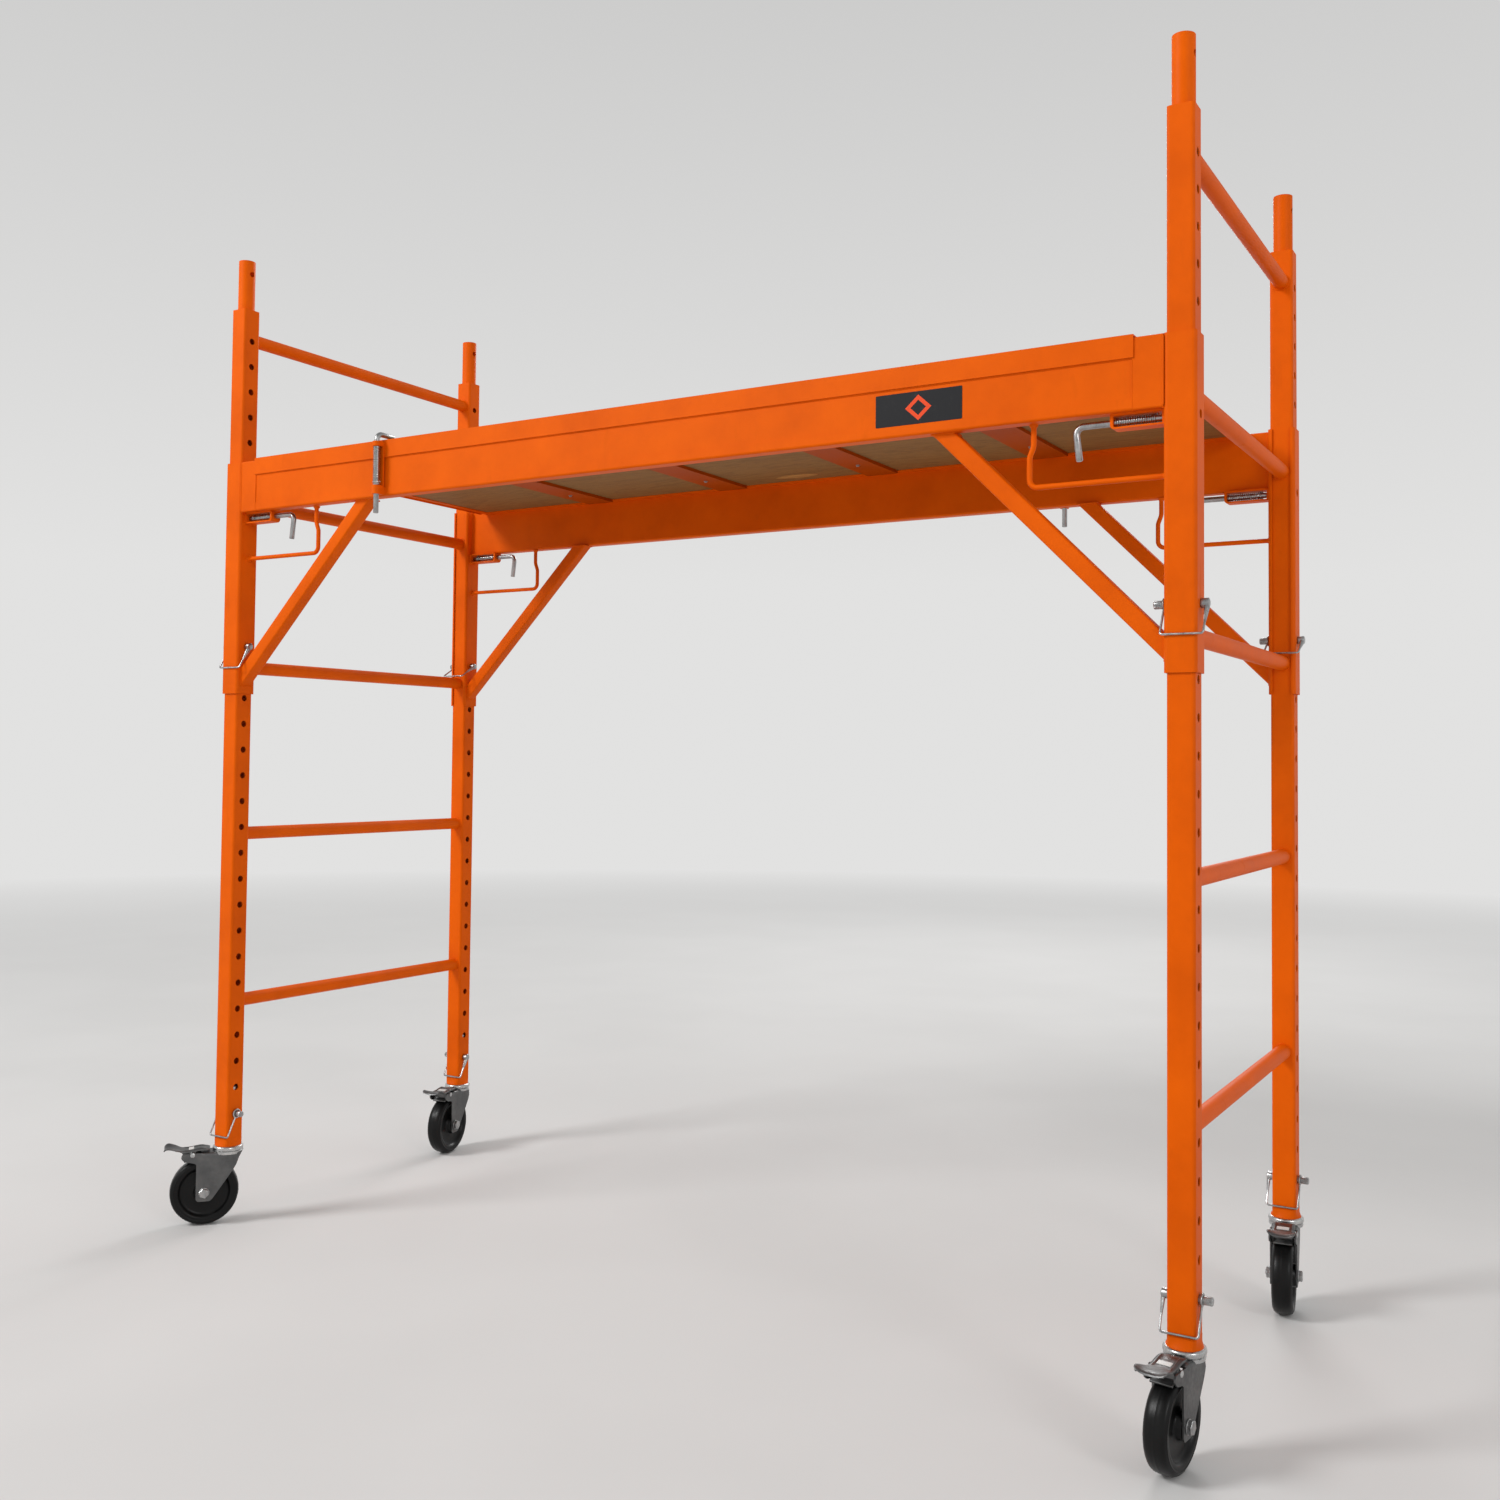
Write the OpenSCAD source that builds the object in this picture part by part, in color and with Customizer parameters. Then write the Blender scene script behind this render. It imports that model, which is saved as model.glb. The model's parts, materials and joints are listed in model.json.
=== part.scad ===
// Baker scaffold: two ladder frames on braked swivel casters carry a platform of
// two trusses and a plywood deck. Spring pins and wire-lock pins hold the platform
// at a row of holes in the posts, and a hook on each side holds the deck down.
// X runs along the platform, Y across it, and Z up from the floor.

/* [Ladder frames] */
// Distance between the post centres along the platform
frame_length = 1860; // [1500:10:2100]
// Distance between the post centres across the platform
frame_width = 658; // [560:2:760]
// Side of the square post tube
post_side = 38.1; // [36:0.1:42]
// Wall of the post tube
post_wall = 2; // [1.6:0.1:3]
// Height of the bottom of the posts above the floor
post_bottom = 152; // [145:1:165]
// Length of a post
post_length = 1647; // [1500:1:1800]
// Distance between neighbouring holes of a post
hole_pitch = 50.8; // [40:0.1:60]
// Diameter of the holes of a post
hole_d = 12.5; // [11.5:0.1:14]
// Distance from the top of a post down to its first hole
first_hole_drop = 63.4; // [50:0.1:80]
// Number of holes in a post
hole_count = 31; // [31:1:31]
// Diameter of a rung
rung_d = 25.4; // [22:0.1:28]
// Height of the lowest rung
rung_first = 428; // [380:1:470]
// Distance between neighbouring rungs
rung_pitch = 329; // [250:1:335]
// Number of rungs of a frame
rung_count = 5; // [3:1:5]
// Diameter of the spigots that stand on the posts
spigot_d = 31.8; // [28:0.1:33]
// Height of a spigot above its post
spigot_height = 99.5; // [60:0.5:140]

/* [Platform] */
// Height of the underside of the beams
beam_bottom = 1390; // [1390:1:1390]
// Height of a beam's section
beam_height = 101.5; // [90:0.5:110]
// Width of a beam's section
beam_width = 25.4; // [20:0.1:26]
// Outer side of the sleeves that slide on the posts
sleeve_side = 44.5; // [44:0.1:46]
// Length of a sleeve
sleeve_length = 457; // [400:1:480]
// Distance from a post's centre to the end of the deck
deck_inset = 62; // [60:1:70]
// Thickness of the plywood
ply_thickness = 12; // [9:0.5:19]
// Number of ribs under the deck
rib_count = 4; // [2:1:6]
// Width of a rib
rib_width = 65; // [40:1:80]
// Side of the square tube of the braces
brace_side = 25.4; // [22:0.1:28]
// Height of a brace's centre where it meets the sleeve
brace_foot = 1067; // [1060:1:1080]
// Distance from the post's centre to a brace's centre under the beam
brace_reach = 345; // [320:1:360]

/* [Pins and hooks] */
// Diameter of the spring pins and of the deck hooks
rod_d = 9.5; // [8:0.1:10]
// Distance from the post's centre to a spring pin's bend
pin_bend = 150; // [145:1:155]
// Distance from the post's centre to a spring pin's tip, negative past the centre
pin_tip = -10; // [-14:1:-5]
// Diameter of the wire-lock pins
lock_pin_d = 11; // [10:0.1:11.5]
// Distance from a post's centre to the deck hook
hook_place = 403; // [400:1:420]

/* [Casters] */
// Diameter of a wheel
wheel_d = 127; // [127:1:127]
// Width of a wheel
wheel_width = 32; // [28:1:34]
// Distance from the swivel axis to the wheel's axle
trail = 42; // [38:1:46]
// Directions in which the wheels trail, in degrees from +X
trail_angles = [-130, -79, -97, -83]; // [-180:1:180]

/* [Hidden] */
$fn = 48;
steel_paint = [0.93, 0.38, 0.02];
zinc = [0.68, 0.69, 0.70];
black = [0.07, 0.07, 0.07];
plywood = [0.62, 0.47, 0.30];

// Moves the post grid so that the footprint, casters included, is centred
origin_shift = [29, 40, 0];

CORNERS = ["near_left", "far_left", "near_right", "far_right"];
SIDES = [[-1, -1], [-1, 1], [1, -1], [1, 1]];
LOCKS = ["near", "far"];

post_top = post_bottom + post_length;
post_bore = post_side - 2 * post_wall;
first_hole = post_top - first_hole_drop;
function hole_z(k) = first_hole - k * hole_pitch;
spring_pin_z = hole_z(7);
sleeve_pin_z = hole_z(12);
caster_pin_z = hole_z(hole_count - 1);
post_corner = 5;

beam_top = beam_bottom + beam_height;
sleeve_face = sleeve_side / 2;
sleeve_wall = 2.5;
beam_inner = beam_width - sleeve_face; // the beam's inner face, across from the post's centre
shoe_length = 64 - sleeve_face;
beam_start = 64;
rail_sheet = 1.8;
rail_clearance = 0.25;
skirt_drop = 30;
ply_bottom = 1485;
ply_top = ply_bottom + ply_thickness;
ply_edge = beam_inner + 2.25;
deck_length = frame_length - 2 * deck_inset;
rib_span = frame_width - 40;
rib_depth = 6;
rib_step = (frame_length - 2 * beam_start) / (rib_count + 1);

rod_r = rod_d / 2;
bend_r = 8;
guard_z = 1300.5;
guard_reach = 214;
bracket_reach = 98;
ear = 4;
collar_at = 37;
spring_end = bracket_reach - ear;
hook_off = sleeve_face + 13.2;
hook_axis_top = ply_top + 1.5 + rod_r; // clear of the side rail's flat
hook_foot = 1357;
hook_ear_top = 1480;
hook_washer_z = 1413;
hook_arm = 40;
handle_drop = 48;
wire_reach = 48.5;

wheel_r = wheel_d / 2;
fork_gap = 38;
fork_sheet = 2.5;
fork_bend_top = 140;
crown_z = 134;
race_z = 141;
race_r = 29.5;
bolt_r = 5;
pivot_u = 64;
pivot_z = 137;

// ---- placing ----

module at_post(i)
    translate([SIDES[i][0] * frame_length / 2, SIDES[i][1] * frame_width / 2, 0] + origin_shift)
        children();

// A corner's own frame: +X towards the middle of the platform, +Y to the other truss
module at_corner(i)
    at_post(i)
        mirror([SIDES[i][0] > 0 ? 1 : 0, 0, 0])
            mirror([0, SIDES[i][1] > 0 ? 1 : 0, 0])
                children();

module each_corner() for (i = [0:3]) at_corner(i) children();

// A truss's own frame: origin at the middle of its length, +Y to the other truss
module at_truss(side)
    translate([0, side * frame_width / 2, 0] + origin_shift)
        mirror([0, side > 0 ? 1 : 0, 0])
            children();

module at_caster(i) at_post(i) rotate([0, 0, trail_angles[i]]) children();

// ---- shared shapes ----

module round_rect(w, h, r) {
    square([w, h - 2 * r], center = true);
    square([w - 2 * r, h], center = true);
    for (x = [-1, 1], y = [-1, 1])
        translate([x * (w / 2 - r), y * (h / 2 - r)]) circle(r = r);
}

module along_x() rotate([90, 0, 90]) children();

module cross_bore(d, length) rotate([0, 90, 0]) cylinder(d = d, h = length, center = true);

module rod_x(r, length) rotate([0, 90, 0]) cylinder(r = r, h = length);

// Arc of round rod in the XZ plane, from an angle of start, turning towards +Z
module elbow(bend, r, start, angle = 90)
    rotate([90, 0, 0]) rotate([0, 0, start])
        rotate_extrude(angle = angle) translate([bend, 0]) circle(r = r);

module tube_spring(r_in, r_out, length)
    difference() {
        cylinder(r = r_out, h = length);
        translate([0, 0, -1]) cylinder(r = r_in, h = length + 2);
    }

// ---- ladder frames ----

module post(i)
    color(steel_paint) at_post(i) difference() {
        translate([0, 0, post_bottom])
            linear_extrude(post_length) difference() {
                round_rect(post_side, post_side, post_corner);
                round_rect(post_bore, post_bore, post_corner - post_wall);
            }
        for (k = [0:hole_count - 1])
            translate([0, 0, hole_z(k)]) cross_bore(hole_d, post_side + 2);
    }

module rungs(side)
    color(steel_paint)
        for (k = [0:rung_count - 1])
            translate([side * frame_length / 2, 0, rung_first + k * rung_pitch] + origin_shift)
                rotate([90, 0, 0])
                    linear_extrude(frame_width - post_side, center = true) difference() {
                        circle(d = rung_d);
                        circle(d = rung_d - 3.2);
                    }

module spigots()
    color(steel_paint)
        for (i = [0:3]) at_post(i) difference() {
            union() {
                translate([0, 0, post_top - 55]) cylinder(d = spigot_d, h = spigot_height + 55);
                translate([0, 0, post_top - 4])
                    linear_extrude(4) round_rect(post_bore, post_bore, post_corner - post_wall);
            }
            translate([0, 0, post_top - 56]) cylinder(d = spigot_d - 5, h = spigot_height + 57);
            translate([0, 0, post_top + spigot_height - 27]) cross_bore(lock_pin_d, spigot_d + 2);
        }

// Stem, bearing race and king pin of each caster, turned in one profile
module caster_stems()
    color(zinc)
        for (i = [0:3]) at_post(i) difference() {
            rotate_extrude() polygon([
                [0, 129.5], [10, 129.5], [10, 133], [6, 133], [6, race_z], [27, race_z],
                [race_r, race_z + 2], [race_r, race_z + 6], [27.5, post_bottom],
                [15.9, post_bottom], [15.9, 262], [13, 266], [0, 266]]);
            translate([0, 0, caster_pin_z]) cross_bore(lock_pin_d + 0.8, 40);
        }

// ---- platform ----

// Section of a beam, outer face at -sleeve_face, with a shallow recess in that face
module beam_section() {
    recess_low = 16;
    recess_high = 70;
    difference() {
        translate([beam_inner - beam_width / 2, beam_bottom + beam_height / 2])
            round_rect(beam_width, beam_height, 4);
        translate([beam_inner - beam_width / 2 + 0.5, beam_bottom + beam_height / 2])
            round_rect(beam_width - 5, beam_height - 4, 2);
        translate([-sleeve_face - 1, beam_bottom + recess_low]) square([2, recess_high - recess_low]);
    }
}

module beam(side)
    color(steel_paint)
        at_truss(side) along_x()
            linear_extrude(frame_length - 2 * beam_start, center = true) beam_section();

// C-shaped sleeve around the post, open towards the rungs, with bores for the pins
module corner_sleeves()
    color(steel_paint) each_corner() difference() {
        translate([0, 0, beam_top - 1.5 - sleeve_length])
            linear_extrude(sleeve_length) difference() {
                round_rect(sleeve_side, sleeve_side, 6);
                round_rect(sleeve_side - 2 * sleeve_wall, sleeve_side - 2 * sleeve_wall, 4);
                translate([-15, 0]) square([30, sleeve_side]);
            }
        for (z = [spring_pin_z, sleeve_pin_z])
            translate([0, 0, z]) cross_bore(hole_d, sleeve_side + 2);
    }

// Box that joins a beam to its sleeve
module beam_end_shoes()
    color(steel_paint) each_corner()
        translate([sleeve_face, 0, 0]) along_x()
            linear_extrude(shoe_length)
                translate([beam_inner - beam_width / 2, beam_bottom + beam_height / 2 - 0.75])
                    difference() {
                        round_rect(beam_width, beam_height - 1.5, 3);
                        round_rect(beam_width - 5, beam_height - 6.5, 1.5);
                    }

// Outline of a brace at half width h, cut upright at the sleeve and level at the beam
function brace_outline(h) =
    let (a = atan2(beam_bottom - brace_foot, brace_reach - sleeve_face))
    [[sleeve_face, brace_foot - h / cos(a)], [brace_reach + h / sin(a), beam_bottom],
     [brace_reach - h / sin(a), beam_bottom], [sleeve_face, brace_foot + h / cos(a)]];

module diagonal_braces()
    color(steel_paint) each_corner() rotate([90, 0, 0]) difference() {
        linear_extrude(brace_side, center = true) polygon(brace_outline(brace_side / 2));
        linear_extrude(brace_side - 3.6, center = true)
            polygon(brace_outline(brace_side / 2 - 1.8));
    }

// Strap with two ears under the beam that guides a spring pin
module pin_brackets()
    color(steel_paint) each_corner() difference() {
        strap_low = 1369.5;
        strap = 2.5;
        span = bracket_reach - sleeve_face;
        translate([sleeve_face, -11, strap_low]) cube([span, 22, beam_bottom - strap_low]);
        translate([sleeve_face + ear, -12, strap_low + strap])
            cube([span - 2 * ear, 24, beam_bottom - strap_low - 2 * strap]);
        translate([sleeve_face + span / 2, 0, spring_pin_z]) cross_bore(rod_d + 0.4, span + 2);
    }

// Rod that guards a spring pin's handle, bent up to the underside of the beam
module guard_rods() {
    r = 4;
    bend = 12;
    color(steel_paint) each_corner() {
        translate([sleeve_face, 0, guard_z]) rod_x(r, guard_reach - bend - sleeve_face);
        translate([guard_reach - bend, 0, guard_z + bend]) elbow(bend, r, -90);
        translate([guard_reach, 0, guard_z + bend]) cylinder(r = r, h = beam_bottom - guard_z - bend);
    }
}

module screw_places()
    for (k = [1:rib_count], y = [-200, 0, 200])
        translate([-frame_length / 2 + beam_start + k * rib_step, y, 0] + origin_shift) children();

module deck_panel()
    color(plywood) difference() {
        size = [frame_length - 2 * beam_start, frame_width - 2 * ply_edge];
        translate([-size[0] / 2, -size[1] / 2, ply_bottom] + origin_shift)
            cube([size[0], size[1], ply_thickness]);
        screw_places() translate([0, 0, ply_bottom - 1]) cylinder(r = 2.1, h = 9, $fn = 24);
    }

// Folded rails: a skirt outside the beam, a flat on the beam and a lip under the plywood
module deck_side_rails()
    color(steel_paint) for (side = [-1, 1]) at_truss(side) along_x()
        linear_extrude(deck_length, center = true) {
            outer = -sleeve_face - rail_clearance - rail_sheet;
            flat_z = beam_top + 0.2;
            wall_at = beam_inner + rail_clearance;
            translate([outer, flat_z - skirt_drop]) square([rail_sheet, skirt_drop + rail_sheet]);
            translate([outer, flat_z]) square([wall_at + rail_sheet - outer, rail_sheet]);
            translate([wall_at, ply_bottom - rail_sheet])
                square([rail_sheet, flat_z - ply_bottom + 2 * rail_sheet]);
            translate([wall_at, ply_bottom - rail_sheet]) square([20 - wall_at, rail_sheet]);
        }

module deck_end_rails()
    color(steel_paint) for (side = [-1, 1])
        translate([side * frame_length / 2, 0, 0] + origin_shift) mirror([side > 0 ? 1 : 0, 0, 0])
            rotate([90, 0, 0]) linear_extrude(rib_span, center = true) {
                translate([deck_inset, ply_bottom - 5]) square([rail_sheet, 13.5]);
                translate([deck_inset, ply_bottom - rail_sheet]) square([18, rail_sheet]);
            }

module deck_ribs()
    color(steel_paint)
        for (k = [1:rib_count])
            translate([-frame_length / 2 + beam_start + k * rib_step, 0, 0] + origin_shift)
                difference() {
                    translate([-rib_width / 2, -rib_span / 2, ply_bottom - rib_depth])
                        cube([rib_width, rib_span, rib_depth]);
                    translate([rail_sheet - rib_width / 2, -rib_span, ply_bottom - rib_depth + rail_sheet])
                        cube([rib_width - 2 * rail_sheet, 2 * rib_span, rib_depth]);
                    for (y = [-200, 0, 200])
                        translate([0, y, ply_bottom - rib_depth - 1]) cylinder(r = 2.1, h = 4, $fn = 24);
                }

module deck_screws()
    color(zinc) screw_places() {
        head_z = ply_bottom - rib_depth;
        translate([0, 0, head_z - 2]) cylinder(r1 = 3.4, r2 = 4.5, h = 2, $fn = 24);
        translate([0, 0, head_z]) cylinder(r = 2, h = rib_depth + 7, $fn = 24);
    }

module deck_label()
    color(black) at_truss(-1)
        translate([480.7, -sleeve_face + 0.5, 1406.5]) cube([138, 0.5, 48]);

// Narrow plate with a guide loop at each end, for a deck hook
module hook_brackets()
    color(steel_paint) for (i = [0, 3]) at_corner(i) translate([hook_place, 0, 0]) difference() {
        half = 8;
        plate_face = -sleeve_face - 5.2;
        union() {
            translate([-half, plate_face, beam_bottom + 2]) cube([2 * half, 3, 97]);
            translate([-half, plate_face + 3, beam_bottom + 2]) cube([2 * half, 2.2, 14]);
            for (loop = [[hook_ear_top, 9], [beam_bottom + 2, 16]])
                translate([0, 0, loop[0]]) linear_extrude(loop[1]) {
                    translate([0, -hook_off]) circle(r = half);
                    translate([-half, -hook_off]) square([2 * half, hook_off + plate_face]);
                }
        }
        translate([0, -hook_off, beam_bottom]) cylinder(r = rod_r + 0.25, h = 120);
    }

// ---- pins and hooks ----

module spring_pin(i)
    color(zinc) at_corner(i) translate([0, 0, spring_pin_z]) {
        bend = bend_r + rod_r;
        translate([pin_tip, 0, 0]) rod_x(rod_r, pin_bend - bend - pin_tip);
        translate([collar_at, 0, 0]) rod_x(7, 2);
        translate([pin_bend - bend, 0, -bend]) elbow(bend, rod_r, 0);
        translate([pin_bend, 0, -handle_drop]) cylinder(r = rod_r, h = handle_drop - bend);
    }

module pin_spring(i)
    color(zinc) at_corner(i) translate([collar_at + 2, 0, spring_pin_z])
        rotate([0, 90, 0]) tube_spring(rod_r + 0.3, 7, spring_end - collar_at - 2);

module deck_hook(i)
    color(zinc) at_corner(i) translate([hook_place, -hook_off, 0]) {
        bend = bend_r + rod_r;
        translate([0, 0, hook_foot]) cylinder(r = rod_r, h = hook_axis_top - bend - hook_foot);
        translate([0, bend, hook_axis_top - bend]) rotate([0, 0, 90]) elbow(bend, rod_r, 90);
        translate([0, bend, hook_axis_top]) rotate([-90, 0, 0]) cylinder(r = rod_r, h = hook_arm - bend);
        translate([0, 0, hook_washer_z - 2.2]) cross_bore(4, 15);
    }

module hook_washer(i)
    color(zinc) at_corner(i) translate([hook_place, -hook_off, hook_washer_z])
        difference() {
            cylinder(r = 7.5, h = 1.5);
            translate([0, 0, -1]) cylinder(r = rod_r + 0.1, h = 4);
        }

module hook_spring(i)
    color(zinc) at_corner(i) translate([hook_place, -hook_off, hook_washer_z + 1.5])
        tube_spring(rod_r + 0.3, 7, hook_ear_top - hook_washer_z - 1.5);

// Wire-lock pin along X with a wire that swings about it, round the tube. toward is the
// side of its head, face the tube's half width, and swing the wire's angle from hanging
module lock_pin(toward, face, swing) {
    wire_r = 1.6;
    bend = 4;
    ring_r = lock_pin_d / 2 + 2.1;
    head_at = face + 0.5;
    head_length = 11;
    head_wire = head_at + head_length - 3;
    tail_wire = -face - 4;
    low = wire_reach - bend;
    color(zinc) rotate([-swing, 0, 0]) mirror([toward < 0 ? 1 : 0, 0, 0]) {
        difference() {
            union() {
                translate([-face - 18, 0, 0]) rod_x(lock_pin_d / 2, 2 * face + 19);
                translate([head_at, 0, 0]) rod_x(6.8, head_length);
            }
            translate([head_wire, 0, -10]) cylinder(r = wire_r + 0.2, h = 20);
        }
        translate([head_wire, 0, -low]) cylinder(r = wire_r, h = low - 2);
        translate([tail_wire, 0, -low]) cylinder(r = wire_r, h = low - ring_r);
        translate([head_wire - bend, 0, -low]) elbow(bend, wire_r, -90);
        translate([tail_wire + bend, 0, -low]) elbow(bend, wire_r, 180);
        translate([tail_wire + bend, 0, -wire_reach]) rod_x(wire_r, head_wire - tail_wire - 2 * bend);
        translate([tail_wire, 0, 0]) rotate([0, 90, 0])
            rotate_extrude() translate([ring_r, 0]) circle(r = 1.9);
    }
}

// The angle at which the wire's far end lies against the tube's near side
function resting_swing(face) = asin((face + 2.2) / wire_reach);

// On the far posts the wire rests on the rung beside it
module sleeve_lock_pin(i)
    at_post(i) translate([0, 0, sleeve_pin_z])
        lock_pin(1, sleeve_face, SIDES[i][1] > 0 ? 60 : resting_swing(sleeve_face));

module caster_lock_pin(i)
    at_post(i) translate([0, 0, caster_pin_z])
        lock_pin(i == 1 ? 1 : -1, post_side / 2, resting_swing(post_side / 2));

// ---- casters, in a frame whose +X is the trail direction ----

module fork_side() {
    arm_r = 14;
    front = [-27, crown_z];
    to_axle = [trail, wheel_r] - front;
    edge = atan2(to_axle[1], to_axle[0]) - asin(arm_r / norm(to_axle)) - 90;
    rear = trail + arm_r;
    difference() {
        union() {
            polygon([[front[0], fork_bend_top], front,
                     [trail, wheel_r] + arm_r * [cos(edge), sin(edge)],
                     [trail, wheel_r - arm_r], [rear, wheel_r], [rear, 122], [72, 125],
                     [80, 137], [80, fork_bend_top]]);
            translate([trail, wheel_r]) circle(r = arm_r);
        }
        translate([trail, wheel_r]) circle(r = bolt_r + 0.05);
    }
}

module caster_fork(i)
    color(zinc) at_caster(i) {
        difference() {
            translate([0, 0, crown_z]) linear_extrude(fork_bend_top - crown_z) {
                circle(r = race_r - 0.5);
                translate([0, -fork_gap / 2]) square([50, fork_gap]);
            }
            translate([0, 0, crown_z - 1]) cylinder(r = 6.3, h = 10);
        }
        for (y = [-1, 1])
            translate([0, y * (fork_gap + fork_sheet) / 2, 0]) rotate([90, 0, 0])
                linear_extrude(fork_sheet, center = true) fork_side();
        translate([pivot_u, 0, pivot_z]) rotate([90, 0, 0])
            cylinder(r = 3, h = fork_gap + 2 * fork_sheet + 3, center = true);
    }

module caster_wheel(i)
    color(black) at_caster(i) translate([trail, 0, wheel_r]) rotate([90, 0, 0])
        rotate_extrude($fn = 96) {
            half = wheel_width / 2;
            hub_half = fork_gap / 2 - 0.5;
            polygon([
                [6.3, -hub_half], [17, -hub_half], [19, -9], [44, -8], [47, -half + 2],
                [56, -half], [61, -half + 2], [wheel_r, -half + 6], [wheel_r, half - 6],
                [61, half - 2], [56, half], [47, half - 2], [44, 8], [19, 9],
                [17, hub_half], [6.3, hub_half]]);
        }

module caster_axle(i)
    color(zinc) at_caster(i) translate([trail, 0, wheel_r]) rotate([90, 0, 0]) {
        outer = fork_gap / 2 + fork_sheet;
        cylinder(r = 6.2, h = fork_gap, center = true);
        cylinder(r = bolt_r, h = 2 * outer + 16, center = true);
        translate([0, 0, outer]) cylinder(r = 9.5, h = 6, $fn = 6);
        translate([0, 0, -outer - 1.5]) cylinder(r = 10, h = 1.5);
        translate([0, 0, -outer - 7.5]) cylinder(r = 9.5, h = 6, $fn = 6);
    }

// Pressed-steel pedal with a barrel on its pivot and a shoe over the tread
module brake_pedal(i)
    color(zinc) at_caster(i) rotate([90, 0, 0]) difference() {
        plate = 3;
        top = [[33, 144], [60, 145], [80, 146], [90, 152], [100, 157], [109, 156], [117, 150]];
        under = [for (k = [len(top) - 1:-1:0]) top[k] - [0, plate]];
        union() {
            linear_extrude(36.4, center = true) {
                polygon(concat(top, under));
                translate([pivot_u, pivot_z]) circle(r = 6);
                translate([pivot_u - 6, pivot_z]) square([12, 6]);
                polygon([[66, 143], [66, 127.5], [80, 121.4], [80, 143.5]]);
            }
            linear_extrude(45, center = true)
                polygon(concat([for (k = [3:6]) top[k]], [for (k = [6:-1:3]) top[k] - [0, plate]]));
        }
        translate([pivot_u, pivot_z]) cylinder(r = 3.08, h = 60, center = true);
    }

// ---- nodes ----

for (i = [0:3]) {
    post(i);
    spring_pin(i);
    pin_spring(i);
    caster_fork(i);
    caster_wheel(i);
    caster_axle(i);
    brake_pedal(i);
    sleeve_lock_pin(i);
    caster_lock_pin(i);
}
for (s = [0, 1]) {
    deck_hook(3 * s);
    hook_washer(3 * s);
    hook_spring(3 * s);
}
rungs(-1);  // left_rungs
rungs(1);  // right_rungs
spigots();
caster_stems();
beam(-1);  // near_beam
beam(1);  // far_beam
corner_sleeves();
beam_end_shoes();
diagonal_braces();
pin_brackets();
guard_rods();
deck_panel();
deck_side_rails();
deck_end_rails();
deck_ribs();
deck_screws();
deck_label();
hook_brackets();
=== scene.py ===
"""Baker scaffold: the looks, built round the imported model. Lengths in piece code are millimetres."""
import json
from math import acos, atan2, cos, hypot, pi, radians, sin, sqrt

import bmesh
import bpy
from mathutils import Matrix, Vector, geometry, noise


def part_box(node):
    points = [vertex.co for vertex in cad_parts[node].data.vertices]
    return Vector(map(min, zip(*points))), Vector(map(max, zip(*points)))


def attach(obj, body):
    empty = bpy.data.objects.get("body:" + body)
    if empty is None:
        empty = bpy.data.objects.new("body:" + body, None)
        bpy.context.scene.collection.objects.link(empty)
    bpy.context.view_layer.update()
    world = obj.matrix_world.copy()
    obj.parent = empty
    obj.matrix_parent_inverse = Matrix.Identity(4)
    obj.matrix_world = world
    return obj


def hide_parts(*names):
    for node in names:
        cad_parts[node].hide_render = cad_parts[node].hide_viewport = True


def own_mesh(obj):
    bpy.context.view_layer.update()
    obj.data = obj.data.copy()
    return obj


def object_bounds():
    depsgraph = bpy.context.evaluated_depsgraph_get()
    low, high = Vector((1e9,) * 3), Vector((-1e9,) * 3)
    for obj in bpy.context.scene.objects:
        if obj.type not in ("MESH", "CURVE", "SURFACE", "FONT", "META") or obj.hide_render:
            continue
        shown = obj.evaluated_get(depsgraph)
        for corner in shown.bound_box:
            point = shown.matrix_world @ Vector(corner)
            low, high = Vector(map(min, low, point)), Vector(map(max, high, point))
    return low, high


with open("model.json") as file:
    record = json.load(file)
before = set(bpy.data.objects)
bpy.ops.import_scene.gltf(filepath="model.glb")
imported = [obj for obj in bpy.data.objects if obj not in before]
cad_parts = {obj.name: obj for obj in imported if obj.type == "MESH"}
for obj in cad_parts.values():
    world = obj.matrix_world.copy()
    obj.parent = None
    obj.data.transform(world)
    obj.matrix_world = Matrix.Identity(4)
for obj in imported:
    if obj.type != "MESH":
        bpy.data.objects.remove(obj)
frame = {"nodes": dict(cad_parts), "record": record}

CAD_BOX = [list(corner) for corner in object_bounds()]
JOINTS = {j["name"]: j for j in frame["record"]["behaviour"]["joints"]}
CORNERS = ["near_left", "far_left", "near_right", "far_right"]
MM = 0.001
HORIZON_TONE = 0.76
PLY_LAYERS = 7
ROD_RADIUS = 4.75
COIL_RADIUS = 6.9
BRACE_HALF = 12.7
FORK_FOOT, FOOT_CORNER, CROWN_RADIUS = 47.0, 6.5, 28.4


# ---- places, read from the frame ----

def box_mm(node):
    lo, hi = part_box(node)
    return lo / MM, hi / MM


def centre_mm(node):
    lo, hi = box_mm(node)
    return (lo + hi) / 2


def local_frame(x, y, z=0.0, sx=1, sy=1, turn=0.0):
    """A frame in millimetres with its origin at (x, y, z), mirrored or turned about Z."""
    spin = Matrix.Rotation(turn, 4, "Z")
    return Matrix.Translation(Vector((x, y, z)) * MM) @ spin @ Matrix.Diagonal((sx * MM, sy * MM, MM, 1))


MIDDLE = (centre_mm("near_left_post") + centre_mm("far_right_post")) / 2
POST = {c: centre_mm(c + "_post") for c in CORNERS}
INWARD = {c: (1 if POST[c].x < MIDDLE.x else -1, 1 if POST[c].y < MIDDLE.y else -1) for c in CORNERS}
# A corner's frame has +X towards the middle of the platform and +Y to the other truss
CORNER_FRAME = {c: local_frame(POST[c].x, POST[c].y, 0, *INWARD[c]) for c in CORNERS}
POST_FRAME = {c: local_frame(POST[c].x, POST[c].y) for c in CORNERS}
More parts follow.
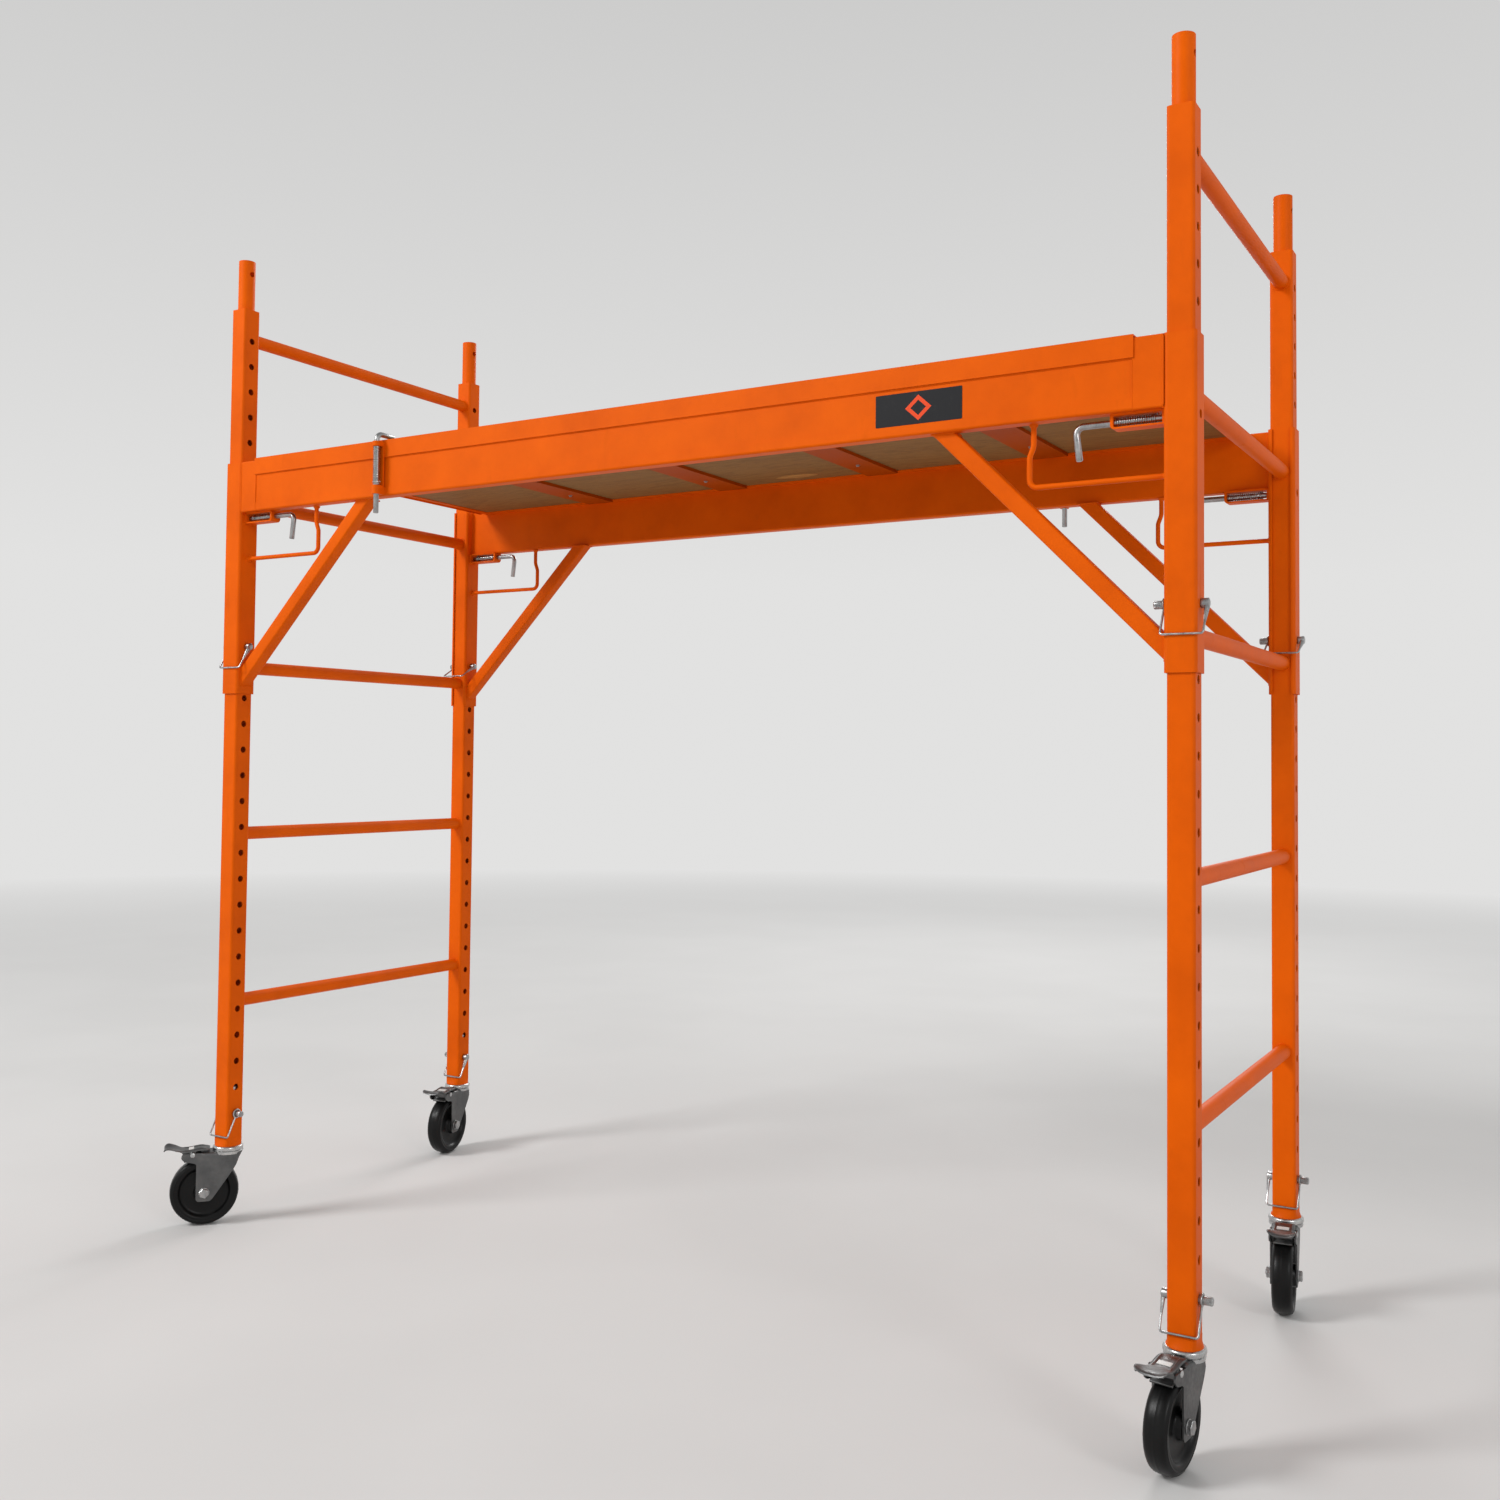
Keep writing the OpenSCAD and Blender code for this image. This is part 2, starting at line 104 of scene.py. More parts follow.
# The same as a corner's frame, for pieces whose own frame is already in millimetres
CORNER_MM = {
    c: Matrix.Translation((POST[c].x, POST[c].y, 0)) @ Matrix.Diagonal((*INWARD[c], 1, 1)) for c in CORNERS}
HOOK_CORNERS = {"near": "near_left", "far": "far_right"}


def trail_turn(c):
    axle = JOINTS[c + "_wheel_roll"]["pos_m"]
    return atan2(axle[1] / MM - POST[c].y, axle[0] / MM - POST[c].x)


# A caster's frame has +X in its trail direction
CASTER_FRAME = {c: local_frame(POST[c].x, POST[c].y, turn=trail_turn(c)) for c in CORNERS}

PIN_Z = centre_mm("near_left_pin_spring").z
SLEEVE_PIN_Z = JOINTS["near_left_sleeve_pin_wire"]["pos_m"][2] / MM
CASTER_PIN_Z = JOINTS["near_left_caster_pin_wire"]["pos_m"][2] / MM
BEAM_LOW, BEAM_HIGH = box_mm("near_beam")[0].z, box_mm("near_beam")[1].z
POST_HALF = (box_mm("near_left_post")[1].x - box_mm("near_left_post")[0].x) / 2
SLEEVE_HALF = POST[CORNERS[0]].x - box_mm("corner_sleeves")[0].x
WHEEL_R = box_mm("near_left_caster_wheel")[1].z / 2
# A brace's axis: its height at the sleeve, and its distance from the post under the beam
BRACE_FOOT, BRACE_REACH = 1067.0, 345.0
TRAIL = hypot(*(JOINTS["near_left_wheel_roll"]["pos_m"][i] / MM - POST["near_left"][i] for i in (0, 1)))


def pedal_pivot(c):
    """The pedal's pivot in its caster's frame: distance along the trail, and height."""
    x, y, z = JOINTS[c + "_pedal_tip"]["pos_m"]
    return hypot(x / MM - POST[c].x, y / MM - POST[c].y), z / MM


# ---- camera, floor and light ----

def make_camera():
    """Stands off the near right post, a little under the deck, looking slightly up."""
    azimuth, elevation, roll = radians(30.94), radians(-2.03), radians(0.56)
    outward, nearer, height = 514.3, 1985.0, 910.9
    ahead = Vector((-sin(azimuth) * cos(elevation), cos(azimuth) * cos(elevation), -sin(elevation)))
    level = Vector((cos(azimuth), sin(azimuth), 0))
    up = level.cross(ahead)
    right = level * cos(roll) + up * sin(roll)
    top = up * cos(roll) - level * sin(roll)
    data = bpy.data.cameras.new("camera")
    data.sensor_width, data.lens, data.shift_y = 36.0, 35.4, -0.0278
    camera = bpy.data.objects.new("camera", data)
    bpy.context.scene.collection.objects.link(camera)
    axes = Matrix((right, top, -ahead)).transposed()
    post = POST["near_right"]
    place = Vector((post.x + outward, post.y - nearer, height)) * MM
    camera.matrix_world = Matrix.Translation(place) @ axes.to_4x4()
    bpy.context.scene.camera = camera


def area_light(name, place, target, size, power, colour=(1, 1, 1)):
    data = bpy.data.lights.new(name, "AREA")
    data.shape, data.size, data.energy, data.color = "DISK", size, power, colour
    light = bpy.data.objects.new(name, data)
    bpy.context.scene.collection.objects.link(light)
    light.location = place
    light.rotation_euler = (Vector(place) - Vector(target)).to_track_quat("Z", "Y").to_euler()


def pale(tone):
    """A grey that is a little warm."""
    return tone, tone * 0.997, tone * 0.99, 1


def make_studio():
    """Pale surroundings, a large key light at the near left, a weak one at the right and one behind."""
    bpy.context.scene.view_settings.view_transform = "Standard"
    world = bpy.data.worlds.new("studio")
    world.use_nodes = True
    tree = world.node_tree
    sky = tree.nodes["Background"]
    height = tree.nodes.new("ShaderNodeSeparateXYZ")
    fade = tree.nodes.new("ShaderNodeValToRGB")
    tree.links.new(tree.nodes.new("ShaderNodeTexCoord").outputs["Generated"], height.inputs[0])
    tree.links.new(height.outputs["Z"], fade.inputs["Fac"])
    tree.links.new(fade.outputs["Color"], sky.inputs["Color"])
    for step, position, tone in zip(fade.color_ramp.elements, (0.12, 0.9), (HORIZON_TONE, 0.42)):
        step.position, step.color = position, pale(tone)
    bpy.context.scene.world = world
    area_light("key", (-3.8, -4.8, 5.2), (0, 0, 1.0), 2.2, 315)
    area_light("end_fill", (5.2, -2.6, 2.8), (0.4, 0, 0.9), 1.6, 50)
    area_light("back", (-1.0, 5.4, 4.0), (0, 0, 1.0), 2.4, 120)
    make_floor()


def make_floor():
    """Pale floor that fades into the tone of the surroundings far from the object."""
    g = Graph("pale_floor")
    where = g.coords()
    tone = g.ramp(g.noise(where, 1.3, 3), (0.4, 0.635, 0.63, 0.623), (0.6, 0.655, 0.65, 0.643))
    g.shade(tone, g.ramp(g.noise(where, 40, 2), (0.3, 0.85), (0.7, 0.95)), Specular_IOR_Level=0.1)
    x, y = g.axis(where, "X"), g.axis(where, "Y")
    distance = g.math("SQRT", g.math("ADD", g.math("MULTIPLY", x, x), g.math("MULTIPLY", y, y)))
    fade_from, fade_over, radius = 2.6, 7.0, 60
    far = g.math("DIVIDE", g.math("SUBTRACT", distance, fade_from), fade_over, clamp=True)
    glow = g.node("Emission")
    glow.inputs["Color"].default_value = pale(HORIZON_TONE)
    blend = g.node("MixShader")
    g.feed(blend.inputs[0], far)
    g.tree.links.new(g.shader.outputs[0], blend.inputs[1])
    g.tree.links.new(glow.outputs[0], blend.inputs[2])
    g.tree.links.new(blend.outputs[0], g.tree.nodes["Material Output"].inputs["Surface"])
    bm = bmesh.new()
    bmesh.ops.create_circle(bm, cap_ends=True, segments=96, radius=radius)
    mesh = bpy.data.meshes.new("floor")
    bm.to_mesh(mesh)
    bm.free()
    floor = bpy.data.objects.new("floor", mesh)
    floor.location.z = CAD_BOX[0][2] - 0.0005
    mesh.materials.append(g.material)
    bpy.context.scene.collection.objects.link(floor)


# ---- materials ----

class Graph:
    """Builds one procedural material. Textures are in the piece's own metres."""

    def __init__(self, name):
        self.material = bpy.data.materials.new(name)
        self.material.use_nodes = True
        self.tree = self.material.node_tree
        self.shader = self.tree.nodes["Principled BSDF"]
        self._coords = None

    def node(self, kind, **values):
        made = self.tree.nodes.new("ShaderNode" + kind)
        for key, value in values.items():
            setattr(made, key, value)
        return made

    def feed(self, socket, value):
        if isinstance(value, bpy.types.NodeSocket):
            self.tree.links.new(value, socket)
        else:
            socket.default_value = value

    def coords(self, stretch=(1, 1, 1)):
        if self._coords is None:
            self._coords = self.node("TexCoord").outputs["Object"]
        if tuple(stretch) == (1, 1, 1):
            return self._coords
        mapping = self.node("Mapping")
        mapping.inputs["Scale"].default_value = stretch
        self.feed(mapping.inputs["Vector"], self._coords)
        return mapping.outputs["Vector"]

    def noise(self, vector, scale, detail=2.0, rough=0.5, distortion=0.0):
        made = self.node("TexNoise")
        self.feed(made.inputs["Vector"], vector)
        values = {"Scale": scale, "Detail": detail, "Roughness": rough, "Distortion": distortion}
        for name, value in values.items():
            made.inputs[name].default_value = value
        return made.outputs["Fac"]

    def voronoi(self, vector, scale, feature="F1"):
        made = self.node("TexVoronoi", feature=feature)
        self.feed(made.inputs["Vector"], vector)
        made.inputs["Scale"].default_value = scale
        return made.outputs["Distance"]

    def ramp(self, factor, *stops):
        """stops are (position, r, g, b), or (position, grey)."""
        made = self.node("ValToRGB")
        self.feed(made.inputs["Fac"], factor)
        steps = made.color_ramp.elements
        while len(steps) < len(stops):
            steps.new(0.5)
        for step, stop in zip(steps, stops):
            step.position = stop[0]
            step.color = (*stop[1:], 1) if len(stop) == 4 else (stop[1], stop[1], stop[1], 1)
        return made.outputs["Color"]

    def math(self, operation, a, b=0.0, clamp=False):
        made = self.node("Math", operation=operation, use_clamp=clamp)
        self.feed(made.inputs[0], a)
        self.feed(made.inputs[1], b)
        return made.outputs[0]

    def mix(self, factor, a, b, blend="MIX"):
        made = self.node("Mix", data_type="RGBA", blend_type=blend)
        self.feed(made.inputs["Factor"], factor)
        for name, value in (("A", a), ("B", b)):
            socket = [s for s in made.inputs if s.name == name and s.type == "RGBA"][0]
            self.feed(socket, (*value, 1) if isinstance(value, tuple) else value)
        return [s for s in made.outputs if s.type == "RGBA"][0]

    def axis(self, vector, name):
        made = self.node("SeparateXYZ")
        self.feed(made.inputs[0], vector)
        return made.outputs[name]

    def bump(self, height, strength, distance, below=None):
        made = self.node("Bump")
        self.feed(made.inputs["Height"], height)
        made.inputs["Strength"].default_value = strength
        made.inputs["Distance"].default_value = distance
        if below is not None:
            self.feed(made.inputs["Normal"], below)
        return made.outputs["Normal"]

    def shade(self, colour, roughness=0.5, normal=None, **sockets):
        self.feed(self.shader.inputs["Base Color"], colour)
        self.feed(self.shader.inputs["Roughness"], roughness)
        if normal is not None:
            self.feed(self.shader.inputs["Normal"], normal)
        for name, value in sockets.items():
            self.shader.inputs[name.replace("_", " ")].default_value = value
        return self.material


def paint_material(name, tone=1.0):
    """Orange powder coat: fine orange peel, uneven film, a few dull rubs and specks. A tone below 1 darkens
    the whole coat, as a painted-shade copy.
    """
    g = Graph(name)
    film = g.noise(g.coords(), 9.0, 4, 0.6)
    colour = g.ramp(film, *((step, r * tone, green * tone, b * tone) for step, r, green, b in (
        (0.30, 0.670, 0.092, 0.0001), (0.50, 0.735, 0.104, 0.0001), (0.72, 0.790, 0.116, 0.0002))))
    specks = g.ramp(g.voronoi(g.coords(), 210), (0.03, 1.0), (0.07, 0.0))
    colour = g.mix(g.math("MULTIPLY", specks, 0.35), colour, (0.30, 0.035, 0.0))
    rubs = g.ramp(g.noise(g.coords((1, 1, 0.25)), 34, 5, 0.7), (0.60, 0.0), (0.76, 1.0))
    colour = g.mix(g.math("MULTIPLY", rubs, 0.22), colour, (0.52, 0.075, 0.002))
    rough = g.math("ADD", g.math("MULTIPLY", film, 0.14), g.math("MULTIPLY", rubs, 0.16))
    rough = g.math("ADD", rough, 0.40)
    peel = g.bump(g.noise(g.coords(), 420, 2, 0.5), 0.16, 0.0006)
    waves = g.bump(g.noise(g.coords(), 60, 2, 0.5), 0.10, 0.0012, peel)
    return g.shade(colour, rough, waves, Specular_IOR_Level=0.06)


def metal_material(name, dark, light, rough_low, rough_high, grain=(1, 1, 0.08), grain_scale=900,
                   spangle=70):
    """Plated or bare steel: cloudy tone, drawn grain and fine scratches."""
    g = Graph(name)
    cloud = g.noise(g.coords(), spangle, 3, 0.55)
    colour = g.ramp(cloud, (0.30, *dark), (0.70, *light))
    scratches = g.ramp(g.noise(g.coords(grain), grain_scale, 3, 0.6), (0.35, 0.0), (0.65, 1.0))
    rough = g.math("ADD", g.math("MULTIPLY", scratches, rough_high - rough_low), rough_low)
    rough = g.math("ADD", rough, g.math("MULTIPLY", cloud, 0.10))
    normal = g.bump(scratches, 0.10, 0.0003)
    return g.shade(colour, rough, normal, Metallic=1.0)


def rubber_material():
    """Black moulded wheel: satin, with dust in the grain and scuffs on the tread."""
    g = Graph("black_wheel")
    cloud = g.noise(g.coords(), 26, 4, 0.6)
    dust = g.ramp(g.noise(g.coords(), 160, 4, 0.7), (0.56, 0.0), (0.80, 1.0))
    colour = g.ramp(cloud, (0.3, 0.003, 0.003, 0.003), (0.7, 0.006, 0.006, 0.006))
    colour = g.mix(g.math("MULTIPLY", dust, 0.07), colour, (0.06, 0.057, 0.054))
    rough = g.math("ADD", g.math("MULTIPLY", cloud, 0.22), 0.22)
    normal = g.bump(g.noise(g.coords(), 700, 2, 0.5), 0.12, 0.0004)
    return g.shade(colour, rough, normal, Specular_IOR_Level=0.20)


def plywood_material(name, tone=1.0, turned=False):
    """Rotary veneer: long fibres, soft figure, a few pin knots, and dark and light plies on the edges. The
    base tone is the underside's tone in shade, and faces pointing up are painted lighter, as if lit.
    """
    g = Graph(name)
    stretch = lambda across: (across, 1, across) if turned else (1, across, across)
    toned = lambda *shade: tuple(c * tone for c in shade)
    fibre = g.noise(g.coords(stretch(12)), 70, 5, 0.65, 0.3)
    figure = g.noise(g.coords(stretch(7)), 2.6, 4, 0.55, 1.2)
    rings = g.math("SINE", g.math("MULTIPLY", figure, 46))
    colour = g.ramp(fibre, (0.25, *toned(0.16, 0.074, 0.020)), (0.50, *toned(0.26, 0.126, 0.036)),
                    (0.80, *toned(0.34, 0.178, 0.056)))
    dark = g.ramp(rings, (0.35, 0.0), (0.95, 1.0))
    colour = g.mix(g.math("MULTIPLY", dark, 0.30), colour, toned(0.12, 0.052, 0.016))
    knots = g.ramp(g.voronoi(g.coords(stretch(2)), 2.3), (0.010, 1.0), (0.035, 0.0))
    colour = g.mix(g.math("MULTIPLY", knots, 0.7), colour, toned(0.10, 0.05, 0.025))
    facing = g.math("ABSOLUTE", g.axis(g.node("NewGeometry").outputs["Normal"], "Z"))
    low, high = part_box("deck_panel")
    ply = (high.z - low.z) / PLY_LAYERS
    above = g.math("SUBTRACT", g.axis(g.coords(), "Z"), low.z)
    layer = g.math("MODULO", g.math("FLOOR", g.math("DIVIDE", above, ply)), 2)
    dark_ply = g.math("MULTIPLY", g.math("LESS_THAN", facing, 0.5), layer)
    colour = g.mix(dark_ply, colour, toned(0.15, 0.08, 0.04))
    # Faces pointing up are tinted lighter: a painted lit tone over the shaded underside's tone.
    top = g.math("GREATER_THAN", g.axis(g.node("NewGeometry").outputs["Normal"], "Z"), 0.5)
    colour = g.mix(top, colour, g.mix(1.0, colour, (2.0, 2.35, 2.9), "MULTIPLY"))
    height = g.math("ADD", fibre, g.math("MULTIPLY", dark, 0.4))
    rough = g.math("ADD", g.math("MULTIPLY", fibre, 0.2), 0.55)
    return g.shade(colour, rough, g.bump(height, 0.25, 0.0006), Specular_IOR_Level=0.15)


def film_material(name, colour, worn):
    """Printed label film: slightly uneven gloss, edge scuffs."""
    g = Graph(name)
    scuffs = g.ramp(g.noise(g.coords(), 90, 5, 0.7), (0.58, 0.0), (0.75, 1.0))
    base = g.mix(g.math("MULTIPLY", scuffs, 0.25), colour, worn)
    rough = g.math("ADD", g.math("MULTIPLY", scuffs, 0.25), 0.30)
    return g.shade(base, rough, g.bump(g.noise(g.coords(), 500, 2), 0.05, 0.0003), Specular_IOR_Level=0.18)


# ---- outlines, and mesh parts that are each (points, faces) ----

def angles(steps):
    """Even steps round a full turn."""
    return [2 * pi * k / steps for k in range(steps)]


def rectangle(x0, x1, y0, y1):
    return [(x0, y0), (x1, y0), (x1, y1), (x0, y1)]


def loft(rings, closed=False, caps=True):
    """Skins a list of rings of equal length."""
    count = len(rings[0])
    points = [p for ring in rings for p in ring]
    spans = len(rings) if closed else len(rings) - 1
    faces = []
    for k in range(spans):
        a, b = k * count, (k + 1) % len(rings) * count
        faces += [(a + i, a + (i + 1) % count, b + (i + 1) % count, b + i) for i in range(count)]
    if caps and not closed:
        faces.append(tuple(range(count))[::-1])
        faces.append(tuple(range((len(rings) - 1) * count, len(rings) * count)))
    return points, faces


def sweep(path, radius, sides=16, closed=False, flatten=None):
    """Round rod along a path. radius is a number or one per point. flatten(k) gives its two factors."""
    path = [Vector(p) for p in path]
    count = len(path)
    radii = radius if isinstance(radius, list) else [radius] * count
    tangents = []
    for k in range(count):
        before = path[k - 1] if closed or k else path[k]
        after = path[(k + 1) % count] if closed or k < count - 1 else path[k]
        tangents.append((after - before).normalized())
    side = tangents[0].orthogonal().normalized()
    rings = []
    for k in range(count):
        side = (side - tangents[k] * side.dot(tangents[k])).normalized()
        other = tangents[k].cross(side)
        wide, thin = flatten(k) if flatten else (1, 1)
        rings.append([path[k] + (side * cos(a) * wide + other * sin(a) * thin) * radii[k]
                      for a in angles(sides)])
    return loft(rings, closed)


def rounded_path(corners, bend, steps=8):
    """The corners joined by straights, each inner corner rounded with the radius bend."""
    corners = [Vector(p) for p in corners]
    path = [corners[0]]
    for before, corner, after in zip(corners, corners[1:], corners[2:]):
        a, b = (before - corner).normalized(), (after - corner).normalized()
        half = a.angle(b) / 2
        reach = bend / (sin(half) / cos(half))
        centre = corner + (a + b).normalized() * (bend / sin(half))
        start, end = corner + a * reach - centre, corner + b * reach - centre
        path += [centre + start.slerp(end, k / steps).normalized() * start.length for k in range(steps + 1)]
    return path + [corners[-1]]


def rounded_rod(corners, bend, radius, sides=16, round_end=0.0):
    """A bent rod whose end edges are eased by round_end."""
    path = rounded_path(corners, bend)
    radii = [radius] * len(path)
    if round_end:
        for end, beside in ((0, 1), (-1, -2)):
            inward = (path[beside] - path[end]).normalized()
            place = 1 if end == 0 else len(path) - 1
            path.insert(place, path[end] + inward * round_end)
            radii.insert(place, radius)
            radii[end] = radius - round_end
    return sweep(path, radii, sides)


def lathe(profile, steps=48, axis="Z", place=(0, 0, 0)):
    """Turns a closed outline of (radius, height) round an axis."""
    spins = {"Z": Matrix(), "X": Matrix.Rotation(pi / 2, 4, "Y"), "Y": Matrix.Rotation(-pi / 2, 4, "X")}
    turn = Matrix.Translation(place) @ spins[axis]
    rings = [[turn @ Vector((r * cos(a), r * sin(a), z)) for r, z in profile] for a in angles(steps)]
    return loft(rings, closed=True)


def disc_profile(r, low, high, ease=0.5, bore=0.0):
    """Outline of a disc or washer with eased edges."""
    return [(bore, low), (r - ease, low), (r, low + ease), (r, high - ease), (r - ease, high), (bore, high)]


def prism(outline, low, high, holes=(), axis="Z", place=(0, 0, 0)):
    """Plate with an outline and holes. axis is the plate's normal."""
    loops = [[Vector((x, y, 0)) for x, y in loop] for loop in (outline, *holes)]
    flat = [p for loop in loops for p in loop]
    triangles = geometry.tessellate_polygon(loops)
    spins = {"Z": Matrix(), "Y": Matrix(((1, 0, 0, 0), (0, 0, 1, 0), (0, 1, 0, 0), (0, 0, 0, 1))),
             "X": Matrix(((0, 0, 1, 0), (1, 0, 0, 0), (0, 1, 0, 0), (0, 0, 0, 1)))}
    turn = Matrix.Translation(place) @ spins[axis]
    points = [turn @ Vector((p.x, p.y, h)) for h in (low, high) for p in flat]
    count = len(flat)
    faces = [tuple(t) for t in triangles] + [tuple(i + count for i in reversed(t)) for t in triangles]
    start = 0
    for loop in loops:
        n = len(loop)
        faces += [(start + i, start + (i + 1) % n, start + (i + 1) % n + count, start + i + count)
                  for i in range(n)]
        start += n
    return points, faces


def circle_points(r, steps=24):
    return [(r * cos(a), r * sin(a)) for a in angles(steps)]


def round_corners(corners, radii, steps=5):
    """Closed 2D outline with each corner rounded by its own radius."""
    count = len(corners)
    outline = []
    for k in range(count):
        before, corner, after = (Vector(corners[(k + d) % count]) for d in (-1, 0, 1))
        if radii[k] <= 0:
            outline.append(tuple(corner))
            continue
        part = rounded_path([(*before, 0), (*corner, 0), (*after, 0)], radii[k], steps)[1:-1]
        outline += [(p.x, p.y) for p in part]
    return outline


def coil(start, end, radius, wire, turns, per_turn=14):
    """Compression spring from start to end, its last turns closed up."""
    start, end = Vector(start), Vector(end)
    run = end - start
    axis = run.normalized()
    side = axis.orthogonal().normalized()
    other = axis.cross(side)
    closed = wire * 2.1
    span = run.length - wire * 2
    steps = int(turns * per_turn)
    path = []
    for k in range(steps + 1):
        t = k / per_turn
        if t < 1:
            along = closed * t
        elif t > turns - 1:
            along = span - closed * (turns - t)
        else:
            along = closed + (span - 2 * closed) * (t - 1) / (turns - 2)
        a = 2 * pi * t
        path.append(start + axis * (wire + along) + (side * cos(a) + other * sin(a)) * (radius - wire))
    return sweep(path, wire, 8)


def weld(path, radius, pitch=2.4, closed=False, sides=8):
    """Weld bead: a rounded ridge with the ripples that a torch leaves."""
    path = [Vector(p) for p in path]
    if closed:
        path.append(path[0])
    fine, radii, travelled = [], [], 0.0
    for a, b in zip(path, path[1:]):
        length = (b - a).length
        steps = max(2, round(length / (pitch / 4)))
        for k in range(steps):
            p = a.lerp(b, k / steps)
            wobble = 0.10 * noise.noise(p * 0.35)
            ripple = 0.5 + 0.5 * cos(2 * pi * (travelled + length * k / steps) / pitch)
            fine.append(p)
            radii.append(radius * (0.86 + 0.16 * ripple + wobble))
        travelled += length
    if not closed:
        fine.append(path[-1])
        radii.append(radius * 0.7)
        radii[0] = radius * 0.7
    return sweep(fine, radii, sides, closed)


# ---- pieces ----

class Piece:
    """Gathers mesh parts, in the millimetres of a local frame, into one object that rides a body."""

    def __init__(self, name, place=Matrix.Diagonal((MM, MM, MM, 1))):
        self.name, self.place = name, place
        self.bm = bmesh.new()

    def add(self, part, turn=Matrix(), material=0):
        points, faces = part
        matrix = self.place @ turn
        made = [self.bm.verts.new(matrix @ Vector(p)) for p in points]
        for face in faces:
            if len(set(face)) < 3:
                continue
            try:
                self.bm.faces.new([made[i] for i in face]).material_index = material
            except ValueError:
                pass
        return self

    def done(self, materials, body, slot, stands_for=(), bevel=0.0, sharp=35, solid=0.0, segments=2,
             turn_out=True):
        bmesh.ops.remove_doubles(self.bm, verts=self.bm.verts, dist=2e-6)
        loose = [v for v in self.bm.verts if not v.link_faces]
        bmesh.ops.delete(self.bm, geom=loose, context="VERTS")
        if turn_out:
            bmesh.ops.recalc_face_normals(self.bm, faces=self.bm.faces)
        mesh = bpy.data.meshes.new(self.name)
        self.bm.to_mesh(mesh)
        self.bm.free()
        for polygon in mesh.polygons:
            polygon.use_smooth = True
        mesh.set_sharp_from_angle(angle=radians(sharp))
        piece = bpy.data.objects.new(self.name, mesh)
        bpy.context.scene.collection.objects.link(piece)
        for material in materials if isinstance(materials, list) else [materials]:
            mesh.materials.append(material)
        if solid:
            modifier = piece.modifiers.new("sheet", "SOLIDIFY")
            modifier.thickness, modifier.offset, modifier.use_even_offset = solid * MM, -1, True
        if bevel:
            ease(piece, bevel, segments)
        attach(piece, body)
        if stands_for:
            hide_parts(*stands_for)
        return piece


def ease(piece, width, segments=2, angle=38):
    """Rounds the sharp edges of a piece."""
    modifier = piece.modifiers.new("eased_edges", "BEVEL")
    modifier.width, modifier.segments = width * MM, segments
    modifier.limit_method, modifier.angle_limit = "ANGLE", radians(angle)
    modifier.harden_normals = True
    return piece


make_camera()
make_studio()
PAINT = paint_material("orange_powder_coat")
# A darker copy of the coat for the deck ribs: painted shade.
SHADED_PAINT = paint_material("shaded_powder_coat", 0.52)
ZINC = metal_material("zinc_plate", (0.30, 0.305, 0.31), (0.48, 0.48, 0.475), 0.20, 0.36)
BRIGHT_ZINC = metal_material("bright_zinc", (0.42, 0.425, 0.43), (0.62, 0.62, 0.61), 0.20, 0.28,
                             (1, 1, 1), 240, 60)
DULL_ZINC = metal_material("pressed_zinc", (0.105, 0.106, 0.108), (0.17, 0.17, 0.168), 0.34, 0.48,
                           (1, 1, 1), 160, 30)
SPRING = metal_material("spring_wire", (0.36, 0.365, 0.37), (0.58, 0.58, 0.57), 0.14, 0.26)
RUBBER = rubber_material()
VENEER = plywood_material("face_veneer")
PATCH = plywood_material("patch_veneer", tone=1.7)
LABEL_BLACK = film_material("label_black", (0.018, 0.018, 0.020), (0.05, 0.047, 0.044))
LABEL_ORANGE = film_material("label_orange", (0.80, 0.075, 0.02), (0.5, 0.06, 0.02))
WHITE_PAD = film_material("pedal_pad", (0.62, 0.62, 0.60), (0.40, 0.39, 0.37))


def paint_cad():
    """Steel that keeps its CAD mesh gets the powder coat; the deck ribs get a darker copy, which is painted
    shade under the deck.
    """
    painted = [c + "_post" for c in CORNERS] + [
        "left_rungs", "right_rungs", "spigots", "near_beam", "far_beam", "corner_sleeves",
        "beam_end_shoes", "deck_side_rails", "deck_end_rails", "deck_ribs"]
    for name in painted:
        for slot in frame["nodes"][name].material_slots:
            slot.material = SHADED_PAINT if name == "deck_ribs" else PAINT


# ---- ladder frames ----

def rung_welds():
    rung = box_mm("left_rungs")
    radius = (rung[1].x - rung[0].x) / 2
    count, reach = 5, radius + 0.7
    pitch = (rung[1].z - rung[0].z - 2 * radius) / (count - 1)
    for side, corners in (("left", CORNERS[:2]), ("right", CORNERS[2:])):
        piece = Piece(side + "_rung_welds")
        for k in range(count):
            z = rung[0].z + radius + k * pitch
            for c in corners:
                y = POST[c].y + INWARD[c][1] * (POST_HALF + 0.6)
                ring = [(POST[c].x + reach * cos(a), y, z + reach * sin(a)) for a in angles(36)]
                piece.add(weld(ring, 1.4, closed=True))
        piece.done(PAINT, "root", "orange_paint")


# ---- casters ----

